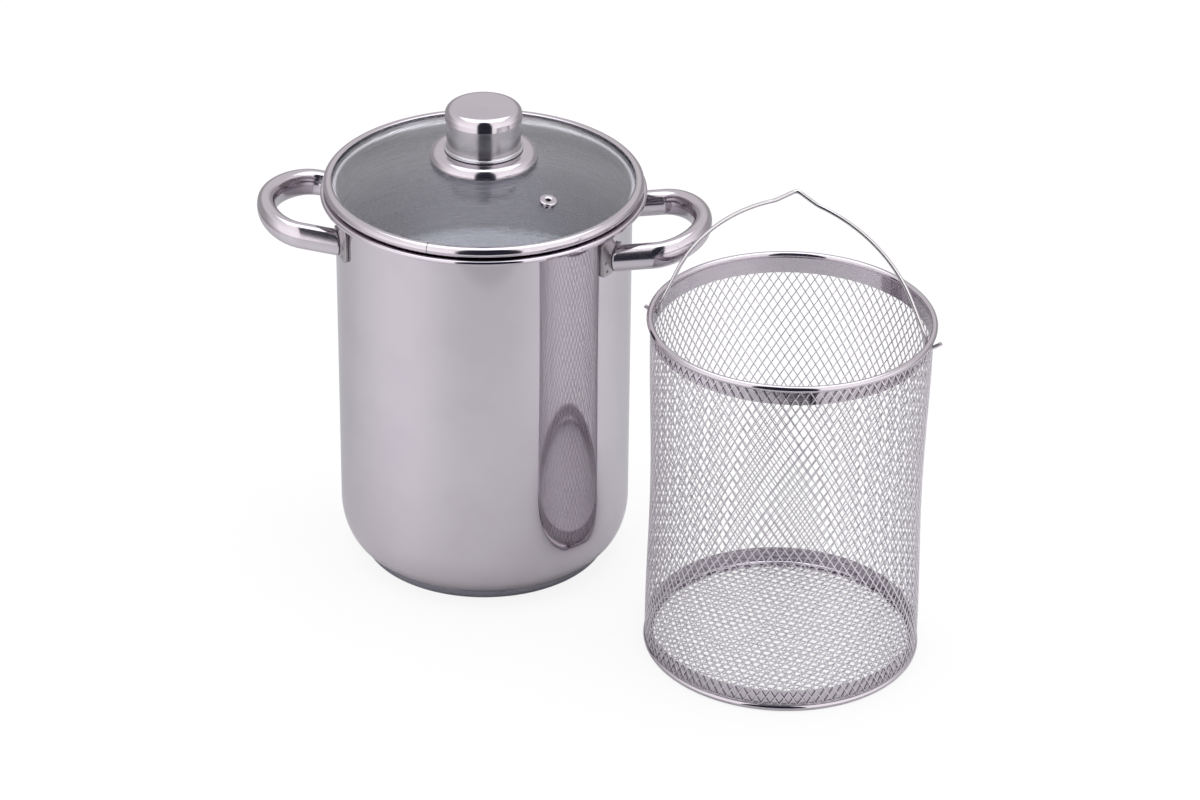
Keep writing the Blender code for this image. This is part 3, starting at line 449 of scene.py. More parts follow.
def makePotShell(v):
    bm = bmesh.new()
    centre = (v["inside"] - v["cornerWide"], v["floor"] + v["cornerHigh"])
    top = bm.verts.new(((centre[0] + v["cornerHigh"]) * mm, 0, centre[1] * mm))
    bottom = arcOn(bm, top, centre, 90, 16)
    squeeze = Matrix.Translation((-centre[0] * mm, 0, 0))
    bmesh.ops.scale(bm, vec=(v["cornerWide"] / v["cornerHigh"], 1, 1), space=squeeze, verts=bm.verts)
    lineOn(bm, bottom, (0, v["floor"]))
    turn = lineOn(bm, top, (v["inside"], v["height"]))
    edge = lineOn(bm, turn, (v["rim"], v["height"]))
    lineOn(bm, edge, (v["rim"], v["height"] - v["rimDrop"]))
    roundCorner(bm, turn, v["rimBend"], 7)
    roundCorner(bm, edge, v["rimEdge"], 5)
    piece = turnSheet(bm, v["steps"], v["sheet"], "potShell", "pot", ["pot_body"], "polished_steel",
                      [insideSteel, mirrorSteel], innerMaterial=1)
    # the flange and its edge are polished like the outside
    for face in piece.data.polygons:
        if face.center.z > (v["height"] - v["rimBend"]) * mm:
            face.material_index = 1


makePotShell(potShape)

baseShape = {"steps": 168, "radius": 68.2, "height": 4.84, "edge": 2.2, "sheet": 0.6}


def makeBaseDisc(v):
    bm = profileLine([(0, 0), (v["radius"], 0), (v["radius"], v["height"])], [(1, v["edge"], 6)])
    turnSheet(bm, v["steps"], v["sheet"], "baseDisc", "pot", ["base_cover"], "satin_steel", [baseSteel])


makeBaseDisc(baseShape)
print("pot and base made")

# handles and their brackets

handleShape = {"spread": 31.9, "tubeWide": 10.4, "tubeHigh": 14.6, "fullness": 0.62, "sheet": 1.0,
               "tip": 118.0, "straight": 94.6, "legHeight": 196.1, "rise": 6.4, "endRadius": 82.0,
               "wall": 80.0, "root": 70.0, "knotReach": 5.0, "bendShare": 0.5, "trim": 0.5, "edge": 0.3,
               "sectionSteps": 9, "pathSteps": 20}


def bezierSpline(curve, knots, cyclic=False):
    # knots are (point, handle before, handle after) in mm
    spline = curve.splines.new("BEZIER")
    spline.bezier_points.add(len(knots) - 1)
    spline.use_cyclic_u = cyclic
    for knot, (point, before, after) in zip(spline.bezier_points, knots):
        knot.handle_left_type = knot.handle_right_type = "FREE"
        knot.co = (point[0] * mm, point[1] * mm, 0)
        knot.handle_left = (before[0] * mm, before[1] * mm, 0)
        knot.handle_right = (after[0] * mm, after[1] * mm, 0)
    return spline


def makeHandle(v, name, node, turn):
    section = bpy.data.curves.new("tubeSection", "CURVE")
    section.dimensions = "2D"
    section.resolution_u = v["sectionSteps"]
    wide, high, k = v["tubeWide"] / 2, v["tubeHigh"] / 2, v["fullness"]
    bezierSpline(section, [
        ((wide, 0), (wide, -k * high), (wide, k * high)),
        ((0, high), (k * wide, high), (-k * wide, high)),
        ((-wide, 0), (-wide, k * high), (-wide, -k * high)),
        ((0, -high), (-k * wide, -high), (k * wide, -high)),
    ], cyclic=True)
    sectionObject = addObject("tubeSection", section)
    path = bpy.data.curves.new("tubePath", "CURVE")
    path.dimensions = "3D"
    path.twist_mode = "Z_UP"
    path.resolution_u = v["pathSteps"]
    path.bevel_mode = "OBJECT"
    path.bevel_object = sectionObject
    root, straight, tip, side, reach = v["root"], v["straight"], v["tip"], v["spread"], v["knotReach"]
    bend, half = straight + (tip - straight) * v["bendShare"], side * v["bendShare"]
    bezierSpline(path, [
        ((root, -side), (root - reach, -side), (root + reach, -side)),
        ((straight, -side), (straight - reach, -side), (bend, -side)),
        ((tip, 0), (tip, -half), (tip, half)),
        ((straight, side), (bend, side), (straight - reach, side)),
        ((root, side), (root + reach, side), (root - reach, side))])
    pathObject = addObject("tubePath", path)
    bm = bmesh.new()
    bm.from_mesh(evaluatedMesh(pathObject))
    bpy.data.objects.remove(pathObject)
    bpy.data.objects.remove(sectionObject)
    bmesh.ops.remove_doubles(bm, verts=bm.verts, dist=mergeReach)
    for vert in bm.verts:  # both ends are trimmed to the bracket's curve
        limit = math.sqrt((v["endRadius"] * mm) ** 2 - vert.co.y ** 2)
        if vert.co.x < limit + v["trim"] * mm:
            vert.co.x = limit
    bmesh.ops.remove_doubles(bm, verts=bm.verts, dist=mergeReach)
    wallX = math.sqrt(v["wall"] ** 2 - v["spread"] ** 2) * mm
    slope = v["rise"] * mm / (v["tip"] * mm - wallX)
    for vert in bm.verts:  # the whole tube rises from the wall to its tip
        vert.co.z += v["legHeight"] * mm + slope * (vert.co.x - wallX)
    faceOutward(bm, Vector((1, 0, 0)))
    piece = finishPiece(bm, name, "pot", [node], "polished_steel", [handleSteel],
                        place=turnAbout("Z", turn), sharp=50)
    giveSheet(piece, v["sheet"])
    easeEdges(piece, v["edge"])


for pieceName, nodeName, turn in (("handleTubeRight", "handle_right", 0),
                                  ("handleTubeLeft", "handle_left", 180)):
    makeHandle(handleShape, pieceName, nodeName, turn)

bracketShape = {"inner": 26.2, "outer": 43.6, "bottom": 189.5, "top": 210.4, "ear": 35.2, "earSlant": 4.0,
                "earDrop": 6.6, "corner": 3.0, "cornerSteps": 5, "columns": 12, "radius": 80.05,
                "sheet": 1.65, "edge": 0.35, "edgeSteps": 3, "edgeAngle": 69, "border": 0.2}


def makeBracket(v, name, node, turn, side):
    bm = bmesh.new()
    shoulder = v["top"] - v["earDrop"]
    corners = [(v["inner"], v["bottom"]), (v["outer"], v["bottom"]), (v["outer"], v["top"]),
               (v["ear"], v["top"]), (v["ear"] - v["earSlant"], shoulder), (v["inner"], shoulder)]
    verts = [bm.verts.new((0, side * y * mm, z * mm)) for y, z in corners]
    bm.faces.new(verts)
    for vert in (verts[1], verts[2]):
        roundCorner(bm, vert, v["corner"], v["cornerSteps"])
    for i in range(1, v["columns"]):
        y = side * (v["inner"] + (v["outer"] - v["inner"]) * i / v["columns"]) * mm
        bmesh.ops.bisect_plane(bm, geom=bm.verts[:] + bm.edges[:] + bm.faces[:], plane_co=(0, y, 0),
                               plane_no=(0, 1, 0))
    made = bmesh.ops.extrude_face_region(bm, geom=bm.faces[:])
    lifted = [item for item in made["geom"] if isinstance(item, bmesh.types.BMVert)]
    bmesh.ops.translate(bm, verts=lifted, vec=(v["sheet"] * mm, 0, 0))
    sharp = [edge for edge in bm.edges if edge.calc_face_angle(0) > math.radians(v["edgeAngle"])]
    bmesh.ops.bevel(bm, geom=sharp, offset=v["edge"] * mm, offset_type="OFFSET", profile=0.5,
                    segments=v["edgeSteps"], affect="EDGES", clamp_overlap=True, material=-1)
    for way in (-1, 1):  # a narrow border keeps the flat faces flat in the shading
        flat = [face for face in bm.faces if face.normal.x * way > 0.999]
        bmesh.ops.inset_region(bm, faces=flat, thickness=v["border"] * mm, use_even_offset=True)
    for vert in bm.verts:  # the flat blank is wrapped round the wall
        angle = math.asin(vert.co.y / (v["radius"] * mm))
        reach = v["radius"] * mm + vert.co.x
        vert.co.x, vert.co.y = reach * math.cos(angle), reach * math.sin(angle)
    bmesh.ops.recalc_face_normals(bm, faces=bm.faces)
    finishPiece(bm, name, "pot", [node], "polished_steel", [bracketSteel], place=turnAbout("Z", turn),
                sharp=40)


for pieceName, nodeName, turn, side in (("bracketRightFront", "bracket_right_front", 0, -1),
                                        ("bracketRightRear", "bracket_right_rear", 0, 1),
                                        ("bracketLeftFront", "bracket_left_front", 180, 1),
                                        ("bracketLeftRear", "bracket_left_rear", 180, -1)):
    makeBracket(bracketShape, pieceName, nodeName, turn, side)
print("handles and brackets made")

# lid

ringShape = {"steps": 168, "beadCentre": (83.3, 221.6), "bead": 3.0, "lipAngle": 127, "skirt": 78.8,
             "underside": 218.6, "skirtBottom": 215.0, "bend": 0.9, "sheet": 0.5}


def makeLidRing(v):
    bm = bmesh.new()
    cx, cz = v["beadCentre"]
    lip = math.radians(v["lipAngle"])
    first = bm.verts.new(((cx + v["bead"] * math.cos(lip)) * mm, 0, (cz + v["bead"] * math.sin(lip)) * mm))
    under = arcOn(bm, first, v["beadCentre"], v["lipAngle"] + 90, 22)
    turn = lineOn(bm, under, (v["skirt"], v["underside"]))
    lineOn(bm, turn, (v["skirt"], v["skirtBottom"]))
    roundCorner(bm, turn, v["bend"], 4)
    turnSheet(bm, v["steps"], v["sheet"], "lidRing", "lid", ["lid_ring"], "polished_steel",
              [ringSteel, insideSteel], innerMaterial=1)


makeLidRing(ringShape)

glassShape = {"steps": 180, "top": 237.19, "dome": 242.0, "edge": 83.6, "thickness": 3.2, "hole": 3.0,
              "edgeRound": 0.7, "domeSteps": 28}
ventShape = {"distance": 54.7, "angle": -44.5, "head": 4.7, "headHigh": 1.1, "shank": 2.6, "bore": 1.5,
             "tail": 3.7, "tailHigh": 0.8, "gap": 0.3, "steps": 64, "funnelDeep": 0.3, "funnelWide": 0.9,
             "lip": 0.4, "headBend": 0.62, "play": 0.3, "drill": 12.0, "drillSteps": 48}


def ventMatrix(v, g):
    # square to the dome where the eyelet sits
    tilt = math.asin(v["distance"] / g["dome"])
    seat = g["top"] - g["dome"] * (1 - math.cos(tilt))
    return (turnAbout("Z", v["angle"]) @ Matrix.Translation((v["distance"] * mm, 0, seat * mm))
            @ Matrix.Rotation(tilt, 4, "Y"))


def makeGlassDome(v):
    bm = bmesh.new()
    first = bm.verts.new((v["hole"] * mm, 0, (v["top"] - v["hole"] ** 2 / (2 * v["dome"])) * mm))
    sweep = math.degrees(math.asin(v["edge"] / v["dome"]) - math.asin(v["hole"] / v["dome"]))
    outerTop = arcOn(bm, first, (0, v["top"] - v["dome"]), sweep, v["domeSteps"])
    below = bmesh.ops.duplicate(bm, geom=bm.verts[:] + bm.edges[:])
    lower = [item for item in below["geom"] if isinstance(item, bmesh.types.BMVert)]
    bmesh.ops.translate(bm, verts=lower, vec=(0, 0, -v["thickness"] * mm))
    outerBottom = max(lower, key=lambda vert: vert.co.x)
    bm.edges.new((outerTop, outerBottom))
    bm.edges.new((first, min(lower, key=lambda vert: vert.co.x)))
    for corner in (outerTop, outerBottom):
        roundCorner(bm, corner, v["edgeRound"], 4)
    spinRound(bm, v["steps"])
    piece = finishPiece(bm, "glassDome", "lid", ["lid_glass"], "glass", [glass], sharp=60)
    cutter = bmesh.new()
    reach = (ventShape["shank"] + ventShape["play"]) * mm
    bmesh.ops.create_cone(cutter, cap_ends=True, segments=ventShape["drillSteps"], radius1=reach,
                          radius2=reach, depth=ventShape["drill"] * mm, matrix=ventMatrix(ventShape, v))
    cutWith(piece, cutter, "ventHole")


makeGlassDome(glassShape)


def makeVent(v):
    top = v["gap"] + v["headHigh"]
    below = -(glassShape["thickness"] + v["gap"])
    mouth, foot = top - v["funnelDeep"], below - v["tailHigh"]
    points = [(v["bore"], mouth), (v["bore"] + v["funnelWide"], top), (v["head"], top),
              (v["head"], v["gap"]), (v["shank"], v["gap"]), (v["shank"], below), (v["tail"], below),
              (v["tail"], foot), (v["bore"], foot), (v["bore"], mouth)]
    bm = profileLine(points, [(1, v["lip"], 3), (2, v["headBend"], 5), (7, v["lip"], 3)])
    spinRound(bm, v["steps"])
    finishPiece(bm, "ventEyelet", "lid", ["vent_eyelet"], "polished_steel", [knobSteel],
                place=ventMatrix(v, glassShape))


makeVent(ventShape)
print("lid made")

# knob

knobShape = {"steps": 128, "sheet": 0.8, "neckSheet": 0.5, "gap": 0.3, "lip": 0.25, "sharp": 50,
             "capTop": 266.45, "capBottom": 259.15, "cap": 20.8, "capDraft": 0.5, "capBend": 4.2,
             "neckTop": 20.0, "neckFlare": 251.5, "flareBend": 3.0, "waist": 19.65, "neckBend": 1.1,
             "footRim": 21.2, "footTop": 242.75, "footBottom": 241.95, "skirtTop": 241.65,
             "skirtFoot": 235.75, "skirt": 29.1, "shoulder": 4.7, "skirtLip": 0.4, "insertHole": 7.8}


def makeKnob(v):
    cap = profileLine([(0, v["capTop"]), (v["cap"] - v["capDraft"], v["capTop"]), (v["cap"], v["capBottom"]),
                       (v["cap"] - v["sheet"], v["capBottom"])], [(1, v["capBend"], 12), (2, v["lip"], 3)])
    neck = profileLine([(v["neckTop"], v["capBottom"] - v["gap"]), (v["neckTop"], v["neckFlare"]),
                        (v["waist"], v["footTop"]), (v["footRim"], v["footTop"]),
                        (v["footRim"], v["footBottom"]), (v["waist"] - v["sheet"], v["footBottom"])],
                       [(1, v["flareBend"], 6), (2, v["neckBend"], 8), (3, v["lip"], 3), (4, v["lip"], 3)])
    skirt = profileLine([(v["insertHole"], v["skirtTop"]), (v["skirt"], v["skirtTop"]),
                         (v["skirt"], v["skirtFoot"]), (v["skirt"] - v["sheet"], v["skirtFoot"])],
                        [(1, v["shoulder"], 14), (2, v["skirtLip"], 3)])
    for bm, thickness, name, node, slotName, steel in (
            (cap, v["sheet"], "knobCap", "knob_cap", "polished_steel", knobSteel),
            (neck, v["neckSheet"], "knobNeck", "knob_neck", "satin_steel", satinSteel),
            (skirt, v["sheet"], "knobSkirt", "knob_skirt", "polished_steel", knobSteel)):
        turnSheet(bm, v["steps"], thickness, name, "lid", [node], slotName, [steel], sharp=v["sharp"])


makeKnob(knobShape)
print("knob made")

# basket

bandShape = {"steps": 160, "outer": 72.4, "inner": 71.8, "bead": 1.75, "topCentre": (73.75, 194.25),
             "topBand": (184.5, 193.4), "footBand": (1.2, 12.0), "footCentre": (72.4, 1.75), "ledge": 3.0,
             "ledgeTop": 2.0, "ledgeSheet": 0.6, "ledgeSeat": 0.1, "holeRadius": 1.6, "holeSteps": 32,
             "drill": 148.8, "beadSteps": 22, "sharp": 38}


def addRing(bm, centre, radius, segments):
    place = Matrix.Translation((centre[0] * mm, 0, centre[1] * mm)) @ turnAbout("X", 90)
    bmesh.ops.create_circle(bm, segments=segments, radius=radius * mm, matrix=place)


def addStrip(bm, inner, outer, low, high):
    corners = [bm.verts.new((x * mm, 0, z * mm))
               for x, z in ((inner, low), (outer, low), (outer, high), (inner, high))]
    for first, second in zip(corners, corners[1:] + corners[:1]):
        bm.edges.new((first, second))


def makeBasketBands(v):
    bm = bmesh.new()
    addStrip(bm, v["inner"], v["outer"], *v["topBand"])
    spinRound(bm, v["steps"])
    piece = finishPiece(bm, "basketTopBand", "basket", ["basket_rim"], "polished_steel", [bandSteel],
                        place=basketMatrix)
    cutter = bmesh.new()
    bmesh.ops.create_cone(cutter, cap_ends=True, segments=v["holeSteps"], radius1=v["holeRadius"] * mm,
                          radius2=v["holeRadius"] * mm, depth=v["drill"] * mm,
                          matrix=bailMatrix @ turnAbout("Y", 90))
    cutWith(piece, cutter, "bailHoles")
    bm = bmesh.new()  # the bead joins the band once its holes are cut
    addRing(bm, v["topCentre"], v["bead"], v["beadSteps"])
    spinRound(bm, v["steps"])
    bmesh.ops.transform(bm, matrix=basketMatrix, verts=bm.verts)
    bm.from_mesh(piece.data)
    bm.to_mesh(piece.data)
    bm.free()
    piece.data.shade_smooth()
    piece.data.set_sharp_from_angle(angle=math.radians(v["sharp"]))

    bm = bmesh.new()
    addRing(bm, v["footCentre"], v["bead"], v["beadSteps"])
    addStrip(bm, v["inner"], v["outer"], *v["footBand"])
    addStrip(bm, v["inner"] - v["ledge"], v["inner"] + v["ledgeSeat"], v["ledgeTop"] - v["ledgeSheet"],
             v["ledgeTop"])
    spinRound(bm, v["steps"])
    finishPiece(bm, "basketFootBand", "basket", ["basket_foot"], "polished_steel", [bandSteel],
                place=basketMatrix)


makeBasketBands(bandShape)

meshShape = {"around": 94, "rows": 24, "low": 3.8, "high": 192.2, "radius": 73.5, "waist": 1.6,
             "strand": 0.45, "sheet": 0.5, "waistLow": 12.0, "waistHigh": 184.5}


def openDiamonds(bm, strand):
    # a rectangular net becomes diamonds: poke each cell, then take its own edges out
    old = bm.edges[:]
    bmesh.ops.poke(bm, faces=bm.faces[:])
    inner = [edge for edge in old if len(edge.link_faces) == 2]
    bmesh.ops.dissolve_edges(bm, edges=inner, use_verts=False, use_face_split=False)
    openings = bm.faces[:]
    bmesh.ops.inset_individual(bm, faces=openings, thickness=strand / 2 * mm, use_even_offset=True)
    bmesh.ops.delete(bm, geom=openings, context="FACES_ONLY")


def makeSleeveMesh(v):
    bm = bmesh.new()
    bmesh.ops.create_cone(bm, cap_ends=False, segments=v["around"], radius1=v["radius"] * mm,
                          radius2=v["radius"] * mm, depth=(v["high"] - v["low"]) * mm,
                          matrix=Matrix.Translation((0, 0, (v["high"] + v["low"]) / 2 * mm)))
    upright = [edge for edge in bm.edges if abs(edge.verts[0].co.z - edge.verts[1].co.z) > mm]
    bmesh.ops.subdivide_edges(bm, edges=upright, cuts=v["rows"] - 1, use_grid_fill=True)
    openDiamonds(bm, v["strand"])
    free = v["waistHigh"] - v["waistLow"]
    for vert in bm.verts:  # the thin net draws in a little between its two bands
        share = min(max((vert.co.z / mm - v["waistLow"]) / free, 0), 1)
        reach = (v["radius"] - v["waist"] * math.sin(math.pi * share) ** 2) * mm
        flat = vert.co.xy.normalized() * reach
        vert.co.x, vert.co.y = flat
    faceOutward(bm)
    piece = finishPiece(bm, "basketNet", "basket", ["basket_sleeve"], "mesh_steel", [meshSteel],
                        place=basketMatrix, sharp=60)
    giveSheet(piece, v["sheet"]).use_even_offset = False


makeSleeveMesh(meshShape)

floorShape = {"radius": 71.3, "low": 2.3, "sheet": 0.6, "cellWide": 4.9, "cellLong": 7.9, "turn": 24.0,
              "strand": 0.5, "border": 0.9, "borderSteps": 120, "trimSides": 60}


def makeFloorMesh(v):
    bm = bmesh.new()
    acrossCount = 2 * math.ceil(v["radius"] / v["cellLong"]) + 2
    alongCount = 2 * math.ceil(v["radius"] / v["cellWide"]) + 2
    bmesh.ops.create_grid(bm, x_segments=acrossCount, y_segments=alongCount, size=0.5)
    bmesh.ops.scale(bm, vec=(acrossCount * v["cellLong"] * mm, alongCount * v["cellWide"] * mm, 1),
                    verts=bm.verts)
    openDiamonds(bm, v["strand"])
    bmesh.ops.rotate(bm, matrix=Matrix.Rotation(math.radians(v["turn"]), 3, "Z"), verts=bm.verts)
    reach = (v["radius"] - v["border"] / 2) * mm
    for i in range(v["trimSides"]):  # trimmed to the round
        angle = math.tau * i / v["trimSides"]
        side = Vector((math.cos(angle), math.sin(angle), 0))
        bmesh.ops.bisect_plane(bm, geom=bm.verts[:] + bm.edges[:] + bm.faces[:], plane_co=side * reach,
                               plane_no=side, clear_outer=True)
    border = bmesh.ops.create_circle(bm, segments=v["borderSteps"], radius=v["radius"] * mm)
    edges = list({edge for vert in border["verts"] for edge in vert.link_edges})
    grown = bmesh.ops.extrude_edge_only(bm, edges=edges)
    inner = [item for item in grown["geom"] if isinstance(item, bmesh.types.BMVert)]
    narrower = 1 - v["border"] / v["radius"]
    bmesh.ops.scale(bm, vec=(narrower, narrower, 1), verts=inner)
    bmesh.ops.translate(bm, vec=(0, 0, (v["low"] + v["sheet"]) * mm), verts=bm.verts)
    for face in bm.faces:
        if face.normal.z < 0:
            face.normal_flip()
    piece = finishPiece(bm, "basketFloorNet", "basket", ["basket_floor"], "mesh_steel", [meshSteel],
                        place=basketMatrix, sharp=60)
    giveSheet(piece, v["sheet"]).use_even_offset = False


makeFloorMesh(floorShape)
print("basket made")

# bail

bailShape = {"wire": 1.05, "leg": 70.2, "rise": 79.8, "peakWide": 11.0, "peakDeep": 6.5, "arc": 86.0,
             "straight": 4.0, "lean": 22.5, "elbow": 5.0, "peakRound": 4.0, "kinkReach": 2.0, "bend": 2.2,
             "net": 73.5, "tipOut": 5.0, "tipRise": 2.8, "edge": 0.2, "arcSteps": 60,
             "kinkSteps": 8, "peakSteps": 10, "elbowSteps": 8, "bendSteps": 9, "round": 6}


def arcPoints(centre, radius, start, end, count):
    return [(centre[0] + radius * math.cos(math.radians(start + (end - start) * i / (count - 1))),
             centre[1] + radius * math.sin(math.radians(start + (end - start) * i / (count - 1))))
            for i in range(count)]


def easeCorner(points, index, reach, steps):
    # the corner becomes a curve that leaves both of its straights at the reach from it
    corner = Vector(points[index])
    before = [point for point in points[:index] if (Vector(point) - corner).length > reach]
    after = [point for point in points[index + 1:] if (Vector(point) - corner).length > reach]
    first = corner + (Vector(before[-1]) - corner).normalized() * reach
    last = corner + (Vector(after[0]) - corner).normalized() * reach
    curve = []
    for i in range(steps + 1):
        t = i / steps
        curve.append(tuple(first * (1 - t) ** 2 + corner * 2 * t * (1 - t) + last * t ** 2))
    return before + curve + after


def makeBail(v):
    lean = math.radians(v["lean"])
    kink = Vector((v["peakWide"], v["rise"] - v["peakDeep"]))
    inward = Vector((-math.cos(lean), -math.sin(lean)))
    up = Vector((-math.sin(lean), math.cos(lean)))
    elbowCentre = Vector((v["leg"] - v["elbow"], v["straight"]))
    toKink = kink - (elbowCentre - inward * v["elbow"])
    depth = toKink.dot(inward)
    run = toKink.dot(up) - math.sqrt(v["arc"] ** 2 - (v["arc"] - depth) ** 2)
    centre = elbowCentre + inward * (v["arc"] - v["elbow"]) + up * run
    start = math.degrees(math.atan2(kink.y - centre.y, kink.x - centre.x))
    lift = v["peakRound"] * (math.hypot(v["peakWide"], v["peakDeep"]) / v["peakWide"] - 1)
    half = [(-kink.x, kink.y), (0, v["rise"] + lift),
            *arcPoints(centre, v["arc"], start, v["lean"], v["arcSteps"])]
    half = easeCorner(half, 2, v["kinkReach"], v["kinkSteps"])
    half = easeCorner(half, 1, v["peakRound"] * v["peakDeep"] / v["peakWide"], v["peakSteps"])[1:]
    half = [point for point in half if point[0] > -0.01]  # from the peak on; the rest is its mirror image
    half += arcPoints(elbowCentre, v["elbow"], v["lean"], 0, v["elbowSteps"])
    half += arcPoints((v["leg"] + v["bend"], v["bend"]), v["bend"], 180, 270, v["bendSteps"])
    half += [(v["net"] + v["wire"], 0), (v["net"] + v["tipOut"], v["tipRise"])]
    route = [(-x, z) for x, z in reversed(half)] + half[1:]
    curve = bpy.data.curves.new("bailWire", "CURVE")
    curve.dimensions = "3D"
    spline = curve.splines.new("POLY")
    spline.points.add(len(route) - 1)
    for point, (x, z) in zip(spline.points, route):
        point.co = (x * mm, 0, z * mm, 1)
    curve.bevel_depth = v["wire"] * mm
    curve.bevel_resolution = v["round"]
    curve.use_fill_caps = True
    wire = addObject("bailCurve", curve)
    bm = bmesh.new()
    bm.from_mesh(evaluatedMesh(wire))
    bpy.data.objects.remove(wire)
    bmesh.ops.remove_doubles(bm, verts=bm.verts, dist=mergeReach)
    bmesh.ops.recalc_face_normals(bm, faces=bm.faces)
    piece = finishPiece(bm, "bailWire", "bail", ["bail"], "wire_steel", [wireSteel], place=bailMatrix,
                        sharp=50)
    easeEdges(piece, v["edge"])


makeBail(bailShape)
print("bail made")

# CAD nodes that stay as they are

for nodeName, material in (("base_core", aluminium), ("knob_insert", insertPlastic),
                           ("knob_gasket", silicone), ("knob_screw", wireSteel),
                           ("knob_washer", wireSteel)):
    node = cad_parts[nodeName]
    node.data.materials.clear()
    node.data.materials.append(material)

# studio

studio = {"lampSize": (1.45, 0.80), "lampPlace": (0.06, 0.155, 1.25), "lampTurn": 8.0, "lampLevel": 1.60,
          "lampColour": (0.92, 1.0, 1.10), "slitTurn": -79.5, "slitHalf": 21.5, "slitTop": 75.5,
          "cardAway": 0.80, "cardFoot": -0.6, "dark": (0.028, 0.030, 0.045), "frontEdge": (0.507, 0.522),
          "sideEdge": (0.49, 0.54), "shadeBand": (0.475, 0.03, 0.15), "lower": (-24.0, -17.0),
          "upper": (8.0, 28.0),
          "paintedTableLight": ((0.0, 0.75), (0.08, 0.75), (0.14, 0.77), (0.20, 0.82), (0.25, 0.86), (0.31, 0.88),
                         (0.37, 0.87), (0.44, 0.84), (0.50, 0.77), (0.56, 0.72), (0.63, 0.63), (0.74, 0.50),
                         (0.92, 0.44)),
          "tentBelow": ((0.0, 0.90), (0.20, 0.95), (0.42, 0.80), (0.56, 0.50), (0.67, 0.38)),
          "tentLow": ((0.0, 1.50), (0.14, 1.70), (0.42, 1.70), (0.505, 1.10), (0.58, 0.75), (0.67, 0.48)),
          "tentHigh": ((0.0, 1.50), (0.12, 1.55), (0.30, 1.60), (0.50, 1.30), (0.62, 1.00), (0.80, 0.93)),
          "tint": (1.0, 0.985, 1.0), "paper": (0.9, 0.9, 0.9), "bleach": 0.86, "floorSize": 3.0,
          "floorDrop": 0.2, "edgeBlend": 0.01}


def levelRound(tree, azimuthShare, stops):
    # the level at a heading, from 0 in front of the object to 1 behind it
    ramp = addNode(tree, "ShaderNodeValToRGB", {"Fac": azimuthShare})
    ramp.color_ramp.interpolation = "B_SPLINE"
    elements = ramp.color_ramp.elements
    while len(elements) < len(stops):
        elements.new(0.5)
    for element, (share, level) in zip(elements, stops):
        element.position = share
        element.color = (level / 2, level / 2, level / 2, 1)
    return mathNode(tree, "MULTIPLY", ramp.outputs["Color"], 2.0)


def aroundNodes(tree, vector, v):
    # distance forward and aside from the slit's middle line, and the heading away from it
    turned = addNode(tree, "ShaderNodeMapping", {"Vector": vector,
                     "Rotation": (0, 0, -math.radians(v["slitTurn"] + 90))})
    split = addNode(tree, "ShaderNodeSeparateXYZ", {0: turned.outputs[0]})
    forward = mathNode(tree, "MULTIPLY", split.outputs[1], -1.0)
    aside = mathNode(tree, "ABSOLUTE", split.outputs[0])
    share = mathNode(tree, "DIVIDE", mathNode(tree, "ARCTAN2", aside, forward), math.pi)
    return forward, aside, share, split.outputs[2]


def flatSheet(name, size, place):
    # a square sheet of the studio, and the empty node tree of its own material
    bm = bmesh.new()
    bmesh.ops.create_grid(bm, x_segments=1, y_segments=1, size=size, matrix=place)
    material = bpy.data.materials.new(name)
    sheet = addObject(name, meshFrom(bm, name))
    sheet.data.materials.append(material)
    return sheet, clearedTree(material)


def makeFloor(v):
    floor, tree = flatSheet("studioFloor", v["floorSize"], Matrix.Translation((0, 0, -v["floorDrop"] * mm)))
    coords = addNode(tree, "ShaderNodeTexCoord")
    forward, aside, share = aroundNodes(tree, coords.outputs["Object"], v)[:3]
    distance = mathNode(tree, "SQRT", mathNode(tree, "ADD", squared(tree, forward), squared(tree, aside)))
    # past the table's edge the tent and its dark opening show in the polished steel
    slope = math.tan(math.radians(v["slitHalf"]))
    inFront = stepMask(tree, mathNode(tree, "SUBTRACT", mathNode(tree, "MULTIPLY", forward, slope), aside),
                       -v["edgeBlend"], v["edgeBlend"])
    past = addNode(tree, "ShaderNodeMix", {"Factor": inFront, "A": stepMask(tree, distance, *v["sideEdge"]),
                   "B": stepMask(tree, forward, *v["frontEdge"])}, data_type="FLOAT")
    # a band of painted shade across the table just short of its front edge
    place, reach, depth = v["shadeBand"]
    offLine = mathNode(tree, "ABSOLUTE", mathNode(tree, "SUBTRACT", forward, place))
    shadeBand = mathNode(tree, "MULTIPLY", inFront, fallMask(tree, offLine, 0.0, reach))
    # the table's colour round the object, as the steel reflects it, is painted light and shade: lighter at
    # the sides, painted shade in front and behind
    level = mathNode(tree, "MULTIPLY", levelRound(tree, share, v["paintedTableLight"]),
                     mathNode(tree, "SUBTRACT", 1.0, mathNode(tree, "MULTIPLY", shadeBand, depth)))
    light = addNode(tree, "ShaderNodeLightPath")
    seen = tintBetween(tree, light.outputs["Is Camera Ray"], level, v["paper"])
    diffuse = addNode(tree, "ShaderNodeBsdfDiffuse", {"Color": seen})
    white = addNode(tree, "ShaderNodeEmission", {"Color": (1, 1, 1, 1), "Strength": 1.0})
    bleach = mathNode(tree, "MULTIPLY", light.outputs["Is Camera Ray"], v["bleach"])
    mix = addNode(tree, "ShaderNodeMixShader", {0: bleach, 1: diffuse.outputs[0], 2: white.outputs[0]})
    clear = addNode(tree, "ShaderNodeBsdfTransparent")
    unseen = mathNode(tree, "SUBTRACT", 1.0, light.outputs["Is Camera Ray"])
    bare = mathNode(tree, "MULTIPLY", past.outputs["Result"], unseen)
    ends = addNode(tree, "ShaderNodeMixShader", {0: bare, 1: mix.outputs[0], 2: clear.outputs[0]})
    addNode(tree, "ShaderNodeOutputMaterial", {"Surface": ends.outputs[0]})


